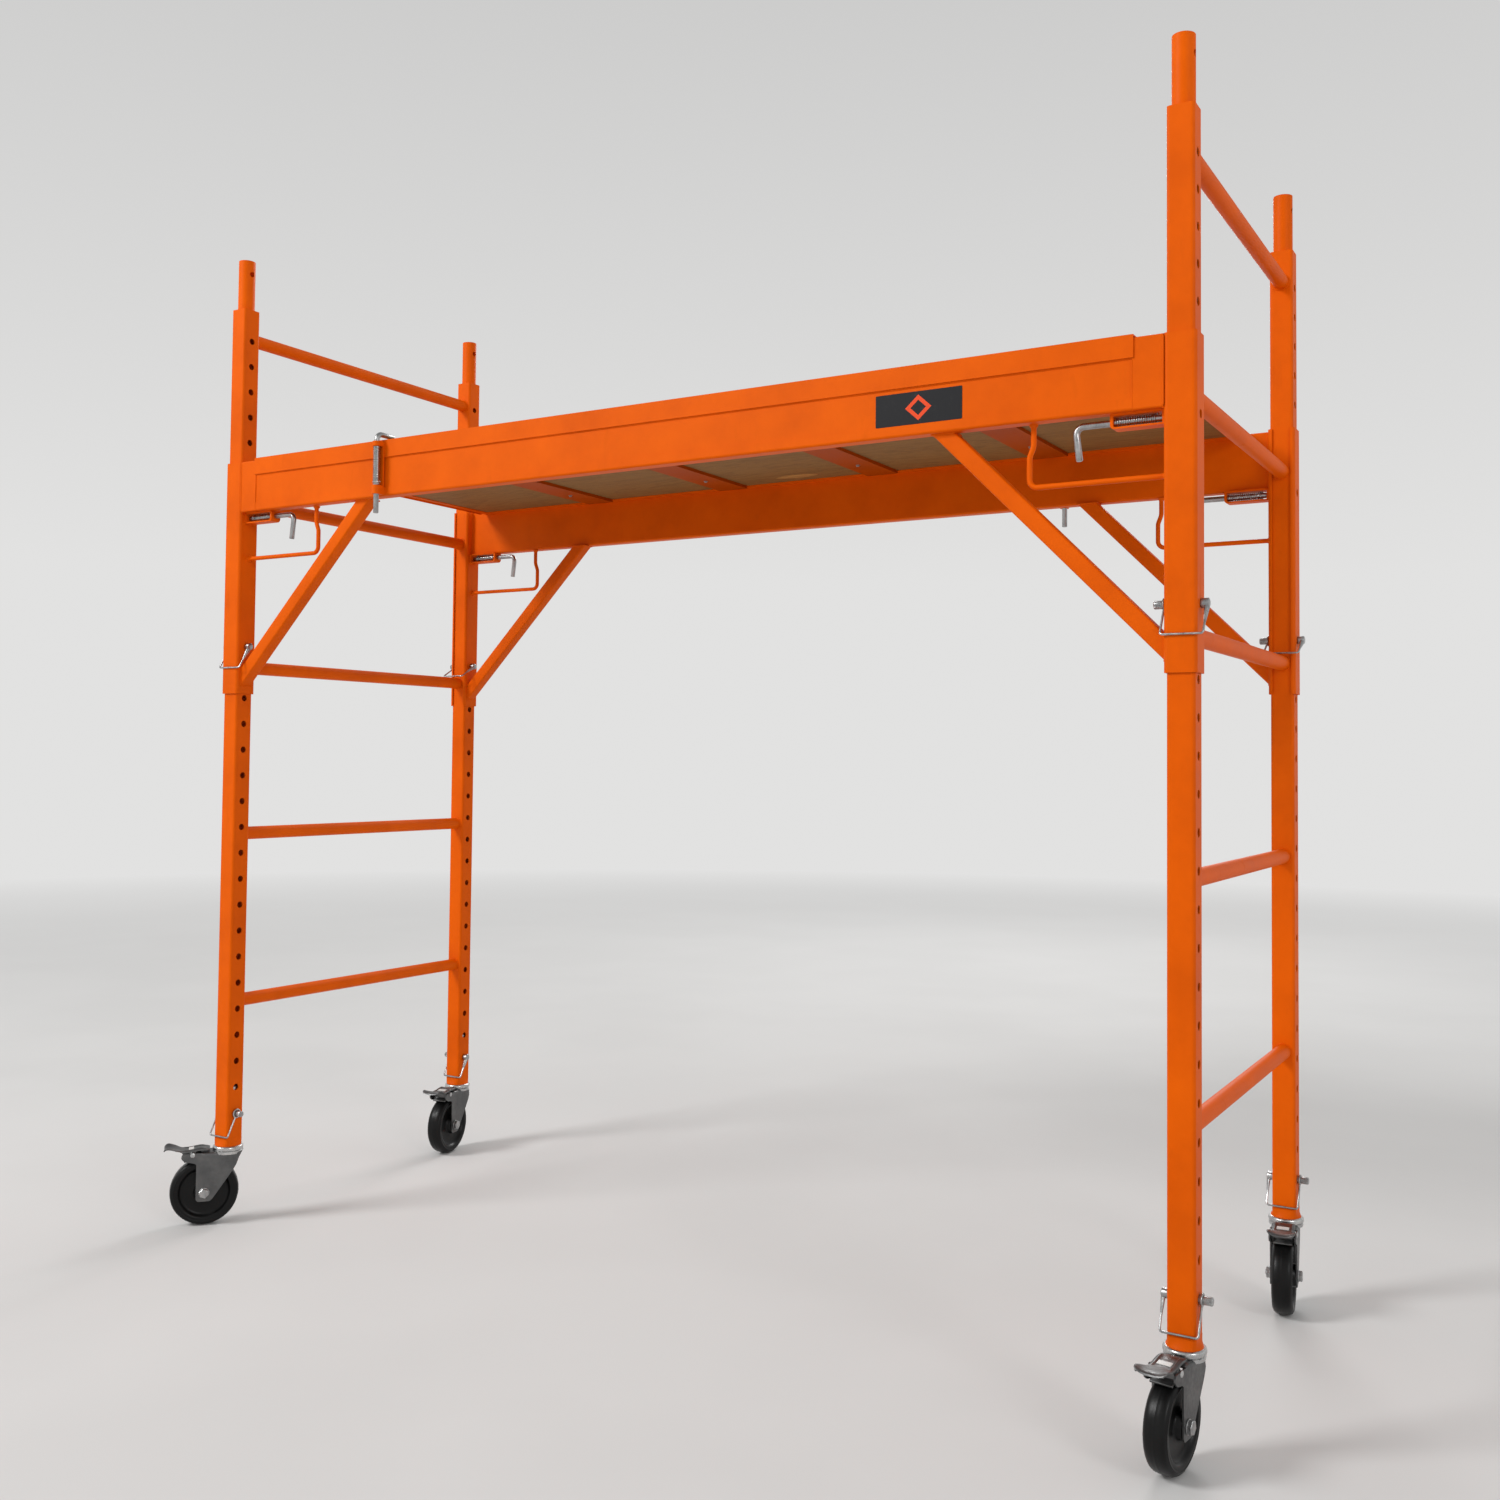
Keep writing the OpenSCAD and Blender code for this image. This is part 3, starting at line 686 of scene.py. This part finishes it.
def caster_wheel(c):
    half, hub, bore, tread = 16.0, 18.4, 6.35, WHEEL_R - 0.15
    side = [(17.2, hub), (18.2, hub - 1), (18.8, 11.5), (20.5, 9.6), (24, 8.8), (40, 8.4), (43.5, 9.2),
            (46, 11.5), (47.6, 14.6), (50, half - 0.3), (53.2, half), (54.6, half - 0.1),
            (55.4, half + 0.4), (56.4, half + 0.4), (57.2, half - 0.3), (59.6, half - 1.2),
            (61.6, half - 3.2), (62.9, half - 6.4), (tread, 4)]
    outline = [(bore, hub), *side, (tread, 0.6), (WHEEL_R, 0), (tread, -0.6),
               *[(r, -w) for r, w in reversed(side)], (bore, -hub)]
    piece = Piece(c + "_wheel_tyre", CASTER_FRAME[c])
    piece.add(lathe(outline, 96, "Y", (TRAIL, 0, WHEEL_R)))
    piece.done(RUBBER, c + "_wheel", "black_tread", [c + "_caster_wheel"], sharp=40)


def step_between(points, x):
    """Straight lines through the points (x, y)."""
    for (x0, y0), (x1, y1) in zip(points, points[1:]):
        if x <= x1:
            return y0 + (y1 - y0) * max(0.0, (x - x0) / (x1 - x0))
    return points[-1][1]


def fork_edges(z):
    """Front and rear edge of a fork side at height z."""
    front = step_between([(50, 27.2), (52.4, 26), (85, 3), (104, -10), (114, -16), (128, -21), (134, -25),
                          (140, -CROWN_RADIUS)], z)
    rear = step_between([(117, 57.2), (119, 58), (121, 61), (122.4, 67), (123.4, 73), (125, 78), (128, 82),
                         (132, 84.5), (136, 84.5), (140, 82)], z)
    if z < FORK_FOOT + FOOT_CORNER:
        drop = FOOT_CORNER - sqrt(max(0.0, FOOT_CORNER ** 2 - (FORK_FOOT + FOOT_CORNER - z) ** 2))
        front, rear = front + drop * 1.1, rear - drop
    return front, rear


def fork_side(u, z, half):
    """How far a fork side stands from the middle: flat behind, drawn in round the front of the crown."""
    drawn_from, drawn_over, least = 92, 40, 4.0
    round_nose = sqrt(max(0.0, CROWN_RADIUS ** 2 - min(0.0, u) ** 2))
    drawn = half - max(0.0, half - round_nose) * min(1.0, max(0.0, (z - drawn_from) / drawn_over))
    return max(least, min(half, drawn))


def caster_fork(c):
    """Pressed shell: two sides joined by a crown, with its top open behind for the pedal."""
    half, top, bend, crown_end = 21.5, 140.0, 5.0, 46.0
    heights = [FORK_FOOT + FOOT_CORNER * (1 - cos(pi / 2 * k / 5)) for k in range(6)]
    heights += [60, 70, 80, 88, 94, 100, 105, 110, 114.8, 117, 118, 119, 120, 121, 121.7, 122.4, 123, 123.4,
                124, 125, 126.5, 128, 130, 132, top - bend]
    leg = [(1.0, z, 0.0) for z in heights]
    arc = [(1.0, top - bend + bend * sin(a), bend * (1 - cos(a)))
           for a in (pi / 2 * k / 5 for k in range(1, 6))]
    crown = [(share, top, bend) for share in (0.75, 0.5, 0.25, 0.0)]
    right = leg + arc + crown
    section = [(1, *row) for row in right] + [(-1, *row) for row in reversed(right[:-1])]
    columns = 26
    rows = []
    for sign, share, z, inset in section:
        front, rear = fork_edges(z)
        row = []
        for k in range(columns + 1):
            u = front + (rear - front) * k / columns
            reach = fork_side(u, min(z, top - bend), half) - (inset if u < crown_end else 0)
            row.append(Vector((u, sign * max(0.4, reach) * share, z)))
        rows.append(row)
    points = [p for row in rows for p in row]
    width = columns + 1
    open_top = lambda r, k: min(section[r][1], section[r + 1][1]) < 1 and rows[r][k].x > crown_end
    faces = [(r * width + k, r * width + k + 1, (r + 1) * width + k + 1, (r + 1) * width + k)
             for r in range(len(rows) - 1) for k in range(columns) if not open_top(r, k)]
    piece = Piece(c + "_fork_shell", CASTER_FRAME[c])
    piece.add((points, faces))
    shell = piece.done(DULL_ZINC, c + "_swivel", "zinc_plate", [c + "_caster_fork"], sharp=50, solid=2.4)
    ease(shell, 0.6, 3, 60)

    fittings = Piece(c + "_fork_fittings", CASTER_FRAME[c])
    lower_race = [(8, 134.4), (27.0, 134.4), (27.8, 136.5), (27.6, 139.6), (26.2, 140.7), (8, 140.7)]
    fittings.add(lathe(lower_race, 64))
    u, z = pedal_pivot(c)
    rivet = [(0, -22.9), (3.2, -22.9), (4.4, -22.2), (4.6, -21.5), (3, -21.5),
             (3, 21.5), (4.6, 21.5), (4.4, 22.2), (3.2, 22.9), (0, 22.9)]
    fittings.add(lathe(rivet, 24, "Y", (u, 0, z)))
    fittings.done(BRIGHT_ZINC, c + "_swivel", "zinc_plate")


def hexagon(flat, low, high, turn=0.0, ease_by=0.9):
    """Bolt head along Y with its corners chamfered."""
    radius = flat / 2 / cos(pi / 6)
    angles = [turn + pi / 3 * k for k in range(6)]
    ring = lambda r, y: [Vector((r * cos(a), y, r * sin(a))) for a in angles]
    shoulder = high - ease_by * (1 if high > low else -1)
    return loft([ring(radius, low), ring(radius, shoulder), ring(radius - ease_by, high)])


def caster_axle(c):
    place = Matrix.Translation((TRAIL, 0, WHEEL_R))
    piece = Piece(c + "_axle_bolt", CASTER_FRAME[c] @ place)
    piece.add(lathe([(0, -29.5), (4.2, -29.5), (5, -28.6), (5, 21.5), (0, 21.5)], 24, "Y"))
    piece.add(lathe(disc_profile(10, 21.5, 23.0, 0.4), 32, "Y"))
    piece.add(hexagon(17, 23.0, 28.6, 0.3))
    piece.add(lathe(disc_profile(6.2, 28.4, 28.9, 0.2), 24, "Y"))
    piece.add(lathe(disc_profile(10, -23.0, -21.5, 0.4), 32, "Y"))
    piece.add(hexagon(17, -23.0, -28.2, 0.1))
    for side in (-1, 1):
        low, high = sorted((side * 18.45, side * 18.95))
        piece.add(lathe(disc_profile(11.5, low, high, 0.15, 5.2), 32, "Y"))
    piece.done(ZINC, c + "_swivel", "zinc_plate", [c + "_caster_axle"], bevel=0.35)


def orange_reflection_skirt():
    """Skirt that spreads from the square foot of a post to the round race under it. Its orange paint is a
    painted reflection of the post in the race's shiny top.
    """
    steps, race_r, corner_reach, proud = 64, 24.6, 1.305, 0.1
    rings = []
    for z, spread, extra in ((149.2, 1.0, -3.0), (149.4, 1.0, 0.0), (150.2, 0.97, 0.0), (152.0, 0.76, 0.0),
                             (154.6, 0.46, 0.0), (158, 0.20, 0.0), (161, 0.06, 0.0), (163.4, 0.0, 0.1),
                             (163.8, 0.0, -1.0)):
        ring = []
        for a in angles(steps):
            square = min(POST_HALF / max(abs(cos(a)), abs(sin(a))), POST_HALF * corner_reach) + proud
            r = square + (race_r - square) * spread + extra
            ring.append(Vector((r * cos(a), r * sin(a), z)))
        rings.append(ring)
    return loft(rings)


def caster_races():
    """Under each post: a domed race, the king pin's head and the stem, with an orange skirt over it that is
    a painted reflection of the post in the race.
    """
    dome = [(6.5, 141.1), (27.4, 141.1), (28.2, 141.6), (28.5, 142.6), (28.5, 146.0), (28.0, 147.8),
            (26.8, 149.0), (24, 149.6), (6.5, 149.6)]
    king_pin = [(0, 129.6), (9, 129.6), (10, 130.6), (10, 132.2), (9, 133), (6, 133), (6, 141.4), (0, 141.4)]
    stem = [(0, 149), (15.9, 149), (15.9, 262), (13, 266), (0, 266)]
    piece = Piece("caster_races")
    reflection_rings = Piece("post_reflection_skirts")
    for c in CORNERS:
        place = Matrix.Translation((POST[c].x, POST[c].y, 0))
        piece.add(lathe(dome, 72), place)
        piece.add(lathe(king_pin, 32), place)
        piece.add(lathe(stem, 32), place)
        reflection_rings.add(orange_reflection_skirt(), place)
    piece.done(BRIGHT_ZINC, "root", "zinc_plate", ["caster_stems"])
    # The skirts take the post's orange paint: a painted reflection of the post in the race.
    reflection_rings.done(PAINT, "root", "orange_paint")


# The pedal seen from the side, from its front end to its tip: distance along the trail, and height
PEDAL_SPINE = [(33, 145.4), (37, 146.2), (44, 147.4), (52, 147.6), (60, 146.6), (67, 145.4), (74, 144.8),
               (80, 145.0), (86, 145.8), (92, 146.8), (98, 147.8), (104, 148.6), (109, 149.0),
               (113, 148.6), (115.6, 147.2), (116.8, 145.2)]


def smooth_curve(points, steps=3):
    """Catmull-Rom curve through 2D points."""
    fine = []
    for k in range(len(points) - 1):
        a, b, c, d = (Vector(points[min(max(k + i, 0), len(points) - 1)]) for i in (-1, 0, 1, 2))
        for step in range(steps):
            t = step / steps
            square, cube = 2 * a - 5 * b + 4 * c - d, 3 * b - a - 3 * c + d
            fine.append((2 * b + (c - a) * t + square * t * t + cube * t ** 3) * 0.5)
    return fine + [Vector(points[-1])]


def pedal_half_width(u):
    return step_between(
        [(33, 15.5), (37, 17.4), (88, 17.6), (95, 22.0), (110, 22.4), (114, 21.4), (117, 18.5)], u)


def brake_pedal(c):
    """Pressed plate with turned-down sides that opens into a wide tread with raised ears."""
    half = [(0, 0), (0.3, 0), (0.62, 0), (0.69, -0.08), (0.75, -0.1), (0.81, -0.08), (0.87, 0), (0.93, 0.05),
            (0.98, 0.18), (1.0, 0.45), (1.0, 1.0)]
    across = [(-t, d) for t, d in half[:0:-1]] + half
    rows = []
    for p in smooth_curve(PEDAL_SPINE):
        wide = pedal_half_width(p.x)
        drop = step_between([(33, 1.2), (44, 3.4), (80, 4.2), (90, 2.6), (112, 2.6), (117, 1.6)], p.x)
        rise = step_between([(84, 0.0), (92, 1.2), (100, 3.0), (108, 4.6), (113, 4.4), (117, 3.2)], p.x)
        ridge = 1.3 * min(1.0, max(0.0, (p.x - 40) / 6)) * min(1.0, max(0.0, (84 - p.x) / 6))
        row = []
        for t, d in across:
            down = drop * d if d >= 0 else d * 10 * ridge
            row.append(Vector((p.x, t * wide, p.y - down + rise * max(0.0, abs(t) * 1.9 - 0.9))))
        rows.append(row)
    width = len(across)
    points = [p for row in rows for p in row]
    faces = [(r * width + k, (r + 1) * width + k, (r + 1) * width + k + 1, r * width + k + 1)
             for r in range(len(rows) - 1) for k in range(width - 1)]
    piece = Piece(c + "_pedal_plate", CASTER_FRAME[c])
    piece.add((points, faces))
    plate = piece.done(DULL_ZINC, c + "_pedal", "zinc_plate", [c + "_brake_pedal"], sharp=60, solid=2.2,
                       turn_out=False)
    ease(plate, 0.5, 3, 60)

    u, z = pedal_pivot(c)
    works = Piece(c + "_pedal_works", CASTER_FRAME[c])
    sleeve = [(3.2, -18.2), (5.4, -18.2), (6, -17.6), (6, 17.6), (5.4, 18.2), (3.2, 18.2)]
    works.add(lathe(sleeve, 32, "Y", (u, 0, z)))
    corners = [(u - 4.5, z + 5), (66.5, 128.2), (78.6, 121.8), (80.4, 124.6), (72, 131), (74, 142)]
    shoe = round_corners(corners, [1, 2, 1.2, 1.2, 3, 1])
    works.add(prism(shoe, -15, 15, axis="Y"))
    works.done(DULL_ZINC, c + "_pedal", "zinc_plate", bevel=0.5)

    pad = Piece(c + "_pedal_pad", CASTER_FRAME[c])
    pad_start, pad_end, sunk = 62, 73, 0.3
    surface = [p for p in smooth_curve(PEDAL_SPINE) if pad_start <= p.x <= pad_end]
    ring = lambda v, lift: ([Vector((p.x, v, p.y + lift)) for p in surface]
                            + [Vector((p.x, v, p.y - sunk)) for p in reversed(surface)])
    pad.add(loft([ring(-9.8, 0.2), ring(-9.2, 1.0), ring(9.2, 1.0), ring(9.8, 0.2)]))
    pad.done(WHITE_PAD, c + "_pedal", "label_film")


# ---- pins, springs and hooks ----

def spring_pin(c):
    lo, hi = box_mm(c + "_spring_pin")
    tip = lo.x - POST[c].x if INWARD[c][0] > 0 else POST[c].x - hi.x
    bend_at, lean = 150.0, 6.0
    low = lo.z - PIN_Z
    piece = Piece(c + "_pin_rod", CORNER_FRAME[c] @ Matrix.Translation((0, 0, PIN_Z)))
    piece.add(rounded_rod([(tip, 0, 0), (bend_at, 0, 0), (bend_at - lean, 0, low)], 11, ROD_RADIUS, 20, 0.9))
    coil_box = box_mm(c + "_pin_spring")
    near = coil_box[0].x - POST[c].x if INWARD[c][0] > 0 else POST[c].x - coil_box[1].x
    piece.add(lathe(disc_profile(7, near - 2, near, 0.4, 4.6), 28, "X"))
    piece.add(sweep([(near - 3.6, 0, -8), (near - 3.6, 0, 8)], 1.4, 10))
    piece.done(ZINC, c + "_spring_pin", "zinc_plate", [c + "_spring_pin"], sharp=45)

    far = near + (coil_box[1].x - coil_box[0].x)
    spring = Piece(c + "_pin_coil", CORNER_FRAME[c] @ Matrix.Translation((0, 0, PIN_Z)))
    spring.add(coil((near + 0.1, 0, 0), (far - 0.1, 0, 0), COIL_RADIUS, 0.95, 17))
    made = spring.done(SPRING, "platform", "spring_steel", [c + "_pin_spring"])
    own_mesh(made)


def deck_hook(side, c):
    turn = JOINTS[side + "_hook_turn"]["pos_m"]
    place = local_frame(turn[0] / MM, turn[1] / MM, 0, *INWARD[c])
    lo, hi = box_mm(side + "_deck_hook")
    bottom, top = (corner.z for corner in box_mm(side + "_hook_washer"))
    reach, arm_z = hi.y - lo.y - ROD_RADIUS, hi.z - ROD_RADIUS
    rod = Piece(side + "_hook_rod", place)
    rod.add(rounded_rod([(0, 0, lo.z), (0, 0, arm_z), (0, reach, arm_z)], 11, ROD_RADIUS, 20, 0.9))
    rod.add(lathe(disc_profile(2, -7.5, 7.5, 0.5), 16, "X", (0, 0, bottom - 2.2)))
    rod.done(ZINC, side + "_deck_hook", "zinc_plate", [side + "_deck_hook"], sharp=45)
    ring = Piece(side + "_hook_ring", place)
    ring.add(lathe(disc_profile(7.5, bottom, top, 0.4, 4.9), 36))
    ring.done(BRIGHT_ZINC, side + "_hook_lift", "zinc_plate", [side + "_hook_washer"], sharp=40)

    low, high = (corner.z for corner in box_mm(side + "_hook_spring"))
    spring = Piece(side + "_hook_coil", place)
    spring.add(coil((0, 0, low + 0.1), (0, 0, high - 0.1), COIL_RADIUS, 1.0, 20))
    made = spring.done(SPRING, "platform", "spring_steel", [side + "_hook_spring"])
    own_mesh(made)


def ridged_rod(start, length, radius, ridges=18, depth=0.45):
    """Short rod along X with fine lengthwise ridges and eased ends."""
    rings = []
    steps = ridges * 4
    ends = ((0, 0.82), (0.5, 0.93), (1.4, 1.0), (length - 1.2, 1.0), (length - 0.3, 0.96), (length, 0.9))
    for x, size in ends:
        ring = []
        for k, a in enumerate(angles(steps)):
            r = (radius - depth * (k % 4 == 0)) * size
            ring.append(Vector((start + x, r * cos(a), r * sin(a))))
        rings.append(ring)
    return loft(rings)


def lock_pin(c, kind, face, z, toward):
    """Pin with a wire round the tube: an arm at the head, a bar across, and a ring at the tail."""
    node = f"{c}_{kind}_lock_pin"
    reach, radius, wire = 48.5, 5.5, 1.6
    swing = acos(min(1.0, (z - box_mm(node)[0].z - wire) / reach))
    place = POST_FRAME[c] @ Matrix.Translation((0, 0, z)) @ Matrix.Rotation(-swing, 4, "X")
    place = place @ Matrix.Diagonal((toward, 1, 1, 1))
    head = face + 0.5
    head_wire, tail_wire = head + 8, -face - 4
    ring_r = radius + 2.1
    pin = Piece(f"{c}_{kind}_pin_rod", place)
    pin.add(lathe([(0, -face - 8), (radius, -face - 8), (radius, face + 1), (0, face + 1)], 28, "X"))
    pin.add(ridged_rod(-face - 18, 12.2, radius + 0.3))
    pin.add(lathe([(0, head), (6.2, head), (6.8, head + 0.8), (6.8, head + 9.0), (6.2, head + 10.3),
                   (4.6, head + 11), (0, head + 11)], 32, "X"))
    pin.done(ZINC, node, "zinc_plate", [node], sharp=30)
    bail = Piece(f"{c}_{kind}_pin_bail", place)
    loop = [(head_wire, 0, 7.5), (head_wire, 0, -reach), (tail_wire, 0, -reach), (tail_wire, 0, -ring_r + 1)]
    bail.add(sweep(rounded_path(loop, 4.0), wire, 10))
    ring = [(tail_wire, ring_r * cos(a), ring_r * sin(a)) for a in angles(40)]
    bail.add(sweep(ring, wire, 10, closed=True))
    arm = [(head_wire, 0, -s) for s in (5.5, 9, 14, 20, 26, 30)]
    bail.add(sweep(arm, [4.2, 4.0, 3.5, 2.9, 2.3, 1.8], 14, flatten=lambda k: (1.0, 0.6)))
    bail.done(ZINC, node, "zinc_plate")


# ---- platform steel ----

def diagonal_braces():
    """Square tubes with rounded corners, cut upright at the sleeve and level under the beam."""
    piece = Piece("brace_tubes")
    run = Vector((BRACE_REACH - SLEEVE_HALF, 0, BEAM_LOW - BRACE_FOOT)).normalized()
    side = Vector((-run.z, 0, run.x))
    section = round_corners(rectangle(-BRACE_HALF, BRACE_HALF, -BRACE_HALF, BRACE_HALF), [3.2] * 4, 5)
    for c in CORNERS:
        low, high = [], []
        for a, b in section:
            base = Vector((SLEEVE_HALF, b, BRACE_FOOT)) + side * a
            low.append(base + run * ((SLEEVE_HALF - base.x) / run.x))
            high.append(base + run * ((BEAM_LOW - base.z) / run.z))
        middle = [p.lerp(q, 0.5) for p, q in zip(low, high)]
        piece.add(loft([low, middle, high]), CORNER_MM[c])
    piece.done(PAINT, "platform", "orange_paint", ["diagonal_braces"], sharp=30)


def pin_brackets():
    """Straps under the beam: rounded at the outer corner, with an ear at each end of the spring."""
    low, outer, wall, ear = box_mm("pin_brackets")[0].z, 98.0, 2.5, 4
    outline = round_corners(rectangle(SLEEVE_HALF, outer, low, BEAM_LOW), [0.6, 6.0, 1.5, 0.6], 6)
    inside = rectangle(SLEEVE_HALF + ear, outer - ear, low + wall, BEAM_LOW - wall)
    window = round_corners(inside, [1.0, 3.0, 1.0, 1.0], 4)
    piece = Piece("spring_straps")
    for c in CORNERS:
        piece.add(prism(outline, -11, 11, [window], axis="Y"), CORNER_MM[c])
    piece.done(PAINT, "platform", "orange_paint", ["pin_brackets"], bevel=0.7)


def guard_rods():
    """Bent rods from the sleeve, round a corner and up to the beam, with a small jog in the upright."""
    radius, outer, inner, jog_low, jog_high = 4.0, 217, 211, 38, 65
    z = box_mm("guard_rods")[0].z + radius
    foot = [(1.0, 0), (6.6, 0), (6.2, 1.6), (4.4, 4.2), (3.6, 6.0), (1.0, 6.0)]
    piece = Piece("handle_guards")
    for c in CORNERS:
        lower = rounded_path([(SLEEVE_HALF, 0, z), (outer, 0, z), (outer, 0, z + jog_low)], 12, 10)
        jog = smooth_curve([(outer, z + jog_low), (216.6, z + 44), (214, z + 51), (211.6, z + 58),
                            (inner, z + jog_high), (inner, BEAM_LOW)], 4)
        piece.add(sweep(lower[:-1] + [(p.x, 0, p.y) for p in jog], radius, 18), CORNER_MM[c])
        piece.add(lathe([(r, -h) for r, h in foot], 24, "Z", (inner, 0, BEAM_LOW)), CORNER_MM[c])
        piece.add(lathe(foot, 24, "X", (SLEEVE_HALF, 0, z)), CORNER_MM[c])
    piece.done(PAINT, "platform", "orange_paint", ["guard_rods"], sharp=40)


def hook_guides():
    """Narrow plates with a loop at each end round the hook's rod."""
    low, high = (corner.z for corner in box_mm("hook_brackets"))
    half, plate_y, ear_height, pad_height = 8, 8.0, 16, 14
    curve = [(half * cos(a), half * sin(a)) for a in (pi + pi * k / 16 for k in range(17))]
    ear = [(-half, plate_y)] + curve + [(half, plate_y)]
    plate = round_corners(rectangle(-half, half, low, high), [2.5] * 4)
    pad = round_corners(rectangle(-half, half, low, low + pad_height), [1] * 4)
    piece = Piece("hook_guides")
    for side, c in HOOK_CORNERS.items():
        turn = JOINTS[side + "_hook_turn"]["pos_m"]
        place = Matrix.Translation((turn[0] / MM, turn[1] / MM, 0)) @ Matrix.Diagonal((*INWARD[c], 1, 1))
        spring_top = box_mm(side + "_hook_spring")[1].z
        for ear_low, ear_high in ((spring_top, high), (low, low + ear_height)):
            piece.add(prism(ear, ear_low, ear_high, [circle_points(5.0)]), place)
        piece.add(prism(plate, plate_y, plate_y + 3, axis="Y"), place)
        piece.add(prism(pad, plate_y + 2.9, plate_y + 5.2, axis="Y"), place)
    piece.done(PAINT, "platform", "orange_paint", ["hook_brackets"], bevel=0.6)


def platform_welds():
    """Beads where the sleeves, beams, braces and straps meet."""
    piece = Piece("platform_welds")
    y0, y1 = -SLEEVE_HALF, box_mm("near_beam")[1].y - POST["near_left"].y
    s, shoe_joint, strap_low = SLEEVE_HALF + 0.3, 64, box_mm("pin_brackets")[0].z
    rise = (BEAM_LOW - BRACE_FOOT) / (BRACE_REACH - SLEEVE_HALF)
    reach_z, reach_s = BRACE_HALF * sqrt(1 + rise * rise), BRACE_HALF * sqrt(1 + 1 / rise / rise)
    around, half_width = ((-1, -1), (-1, 1), (1, 1), (1, -1)), 12.9
    foot = [(s, half_width * b, BRACE_FOOT + a * reach_z) for a, b in around]
    head = [(BRACE_REACH + a * reach_s, half_width * b, BEAM_LOW - 0.3) for a, b in around]
    for c in CORNERS:
        beads = [
            ([(s, y0 + 0.6, BEAM_LOW + 3), (s, y0 + 0.6, BEAM_HIGH - 4)], 1.7),
            ([(s, y1, BEAM_LOW + 3), (s, y1, BEAM_HIGH - 4)], 1.7),
            ([(s, y0 + 2, BEAM_LOW), (s, y1 - 2, BEAM_LOW)], 1.6),
            ([(shoe_joint, y0 + 0.3, BEAM_LOW + 3), (shoe_joint, y0 + 0.3, BEAM_HIGH - 33)], 0.9),
            ([(shoe_joint, y0 + 2, BEAM_LOW), (shoe_joint, y1 - 2, BEAM_LOW)], 0.9),
            *(([(s, y, strap_low + 2), (s, y, BEAM_LOW - 1)], 1.3) for y in (-11, 11)),
            *(([(SLEEVE_HALF + 6, y, BEAM_LOW), (96, y, BEAM_LOW)], 1.2) for y in (-11, 11))]
        for path, radius in beads:
            piece.add(weld(path, radius), CORNER_MM[c])
        for corners in (foot, head):
            piece.add(weld(corners, 1.6, closed=True), CORNER_MM[c])
    piece.done(PAINT, "platform", "orange_paint", sharp=50)


# ---- deck ----

def plywood_board():
    """Board whose plies stand a little in and out along its edges."""
    lo, hi = box_mm("deck_panel")
    ply = (hi.z - lo.z) / PLY_LAYERS
    rings = []
    for k in range(PLY_LAYERS):
        inset = 0.35 * (k % 2)
        edge = rectangle(lo.x + inset, hi.x - inset, lo.y + inset, hi.y - inset)
        outline = round_corners(edge, [1.5] * 4, 3)
        rings += [[Vector((x, y, lo.z + (k + end) * ply)) for x, y in outline] for end in (0, 1)]
    Piece("plywood_board").add(loft(rings)).done(VENEER, "platform", "plywood", ["deck_panel"], sharp=40)
    patch = Piece("veneer_patch")
    middle, tip, belly = centre_mm("deck_panel"), 48, 15
    arc = [(tip * cos(a), belly * sin(a) * abs(sin(a)) ** 0.35) for a in angles(48)]
    patch.add(prism(arc, lo.z - 0.15, lo.z + 0.2, place=(middle.x + 1, middle.y + 269, 0)))
    patch.done(PATCH, "platform", "plywood")


def deck_screws():
    """Hex flange screws up through the ribs."""
    lo, hi = box_mm("deck_screws")
    head = 4.5
    shank = [(0, 0.9), (3.0, 0.9), (head, 1.5), (head, 1.9), (2, 2.1), (2, 14.5), (0, 15)]
    piece = Piece("rib_screws")
    xs = [lo.x + head + (hi.x - lo.x - 2 * head) * k / 3 for k in range(4)]
    ys = [lo.y + head + (hi.y - lo.y - 2 * head) * k / 2 for k in range(3)]
    for i, x in enumerate(xs):
        for j, y in enumerate(ys):
            place = Matrix.Translation((x, y, lo.z)) @ Matrix.Rotation(0.7 * i + 1.1 * j, 4, "Z")
            piece.add(lathe(shank, 24), place)
            piece.add(hexagon(5.5, -1.0, 0.9, 0.2, 0.5), place @ Matrix.Rotation(-pi / 2, 4, "X"))
    piece.done(ZINC, "platform", "zinc_plate", ["deck_screws"], sharp=30)


def deck_label():
    """Black panel with an abstract diamond ring."""
    lo, hi = box_mm("deck_label")
    x, z = (lo.x + hi.x) / 2, (lo.z + hi.z) / 2
    panel = round_corners(rectangle(lo.x, hi.x, lo.z, hi.z), [1.5] * 4)
    plate = Piece("label_panel").add(prism(panel, lo.y, hi.y, axis="Y"))
    plate.done(LABEL_BLACK, "platform", "label_film", ["deck_label"])
    diamond = lambda w, h: [(x - w, z), (x, z - h), (x + w, z), (x, z + h)]
    mark = Piece("label_diamond")
    mark.add(prism(diamond(21, 19), lo.y - 0.12, lo.y + 0.1, [diamond(12.5, 11.3)], axis="Y"))
    mark.done(LABEL_ORANGE, "platform", "label_film")


paint_cad()
for make in (rung_welds, caster_races, diagonal_braces, pin_brackets, guard_rods, hook_guides,
             platform_welds, plywood_board, deck_screws, deck_label):
    make()
for corner in CORNERS:
    caster_wheel(corner)
    caster_fork(corner)
    caster_axle(corner)
    brake_pedal(corner)
    spring_pin(corner)
    lock_pin(corner, "sleeve", SLEEVE_HALF, SLEEVE_PIN_Z, 1)
    lock_pin(corner, "caster", POST_HALF, CASTER_PIN_Z, 1 if corner == "far_left" else -1)
for side, corner in HOOK_CORNERS.items():
    deck_hook(side, corner)
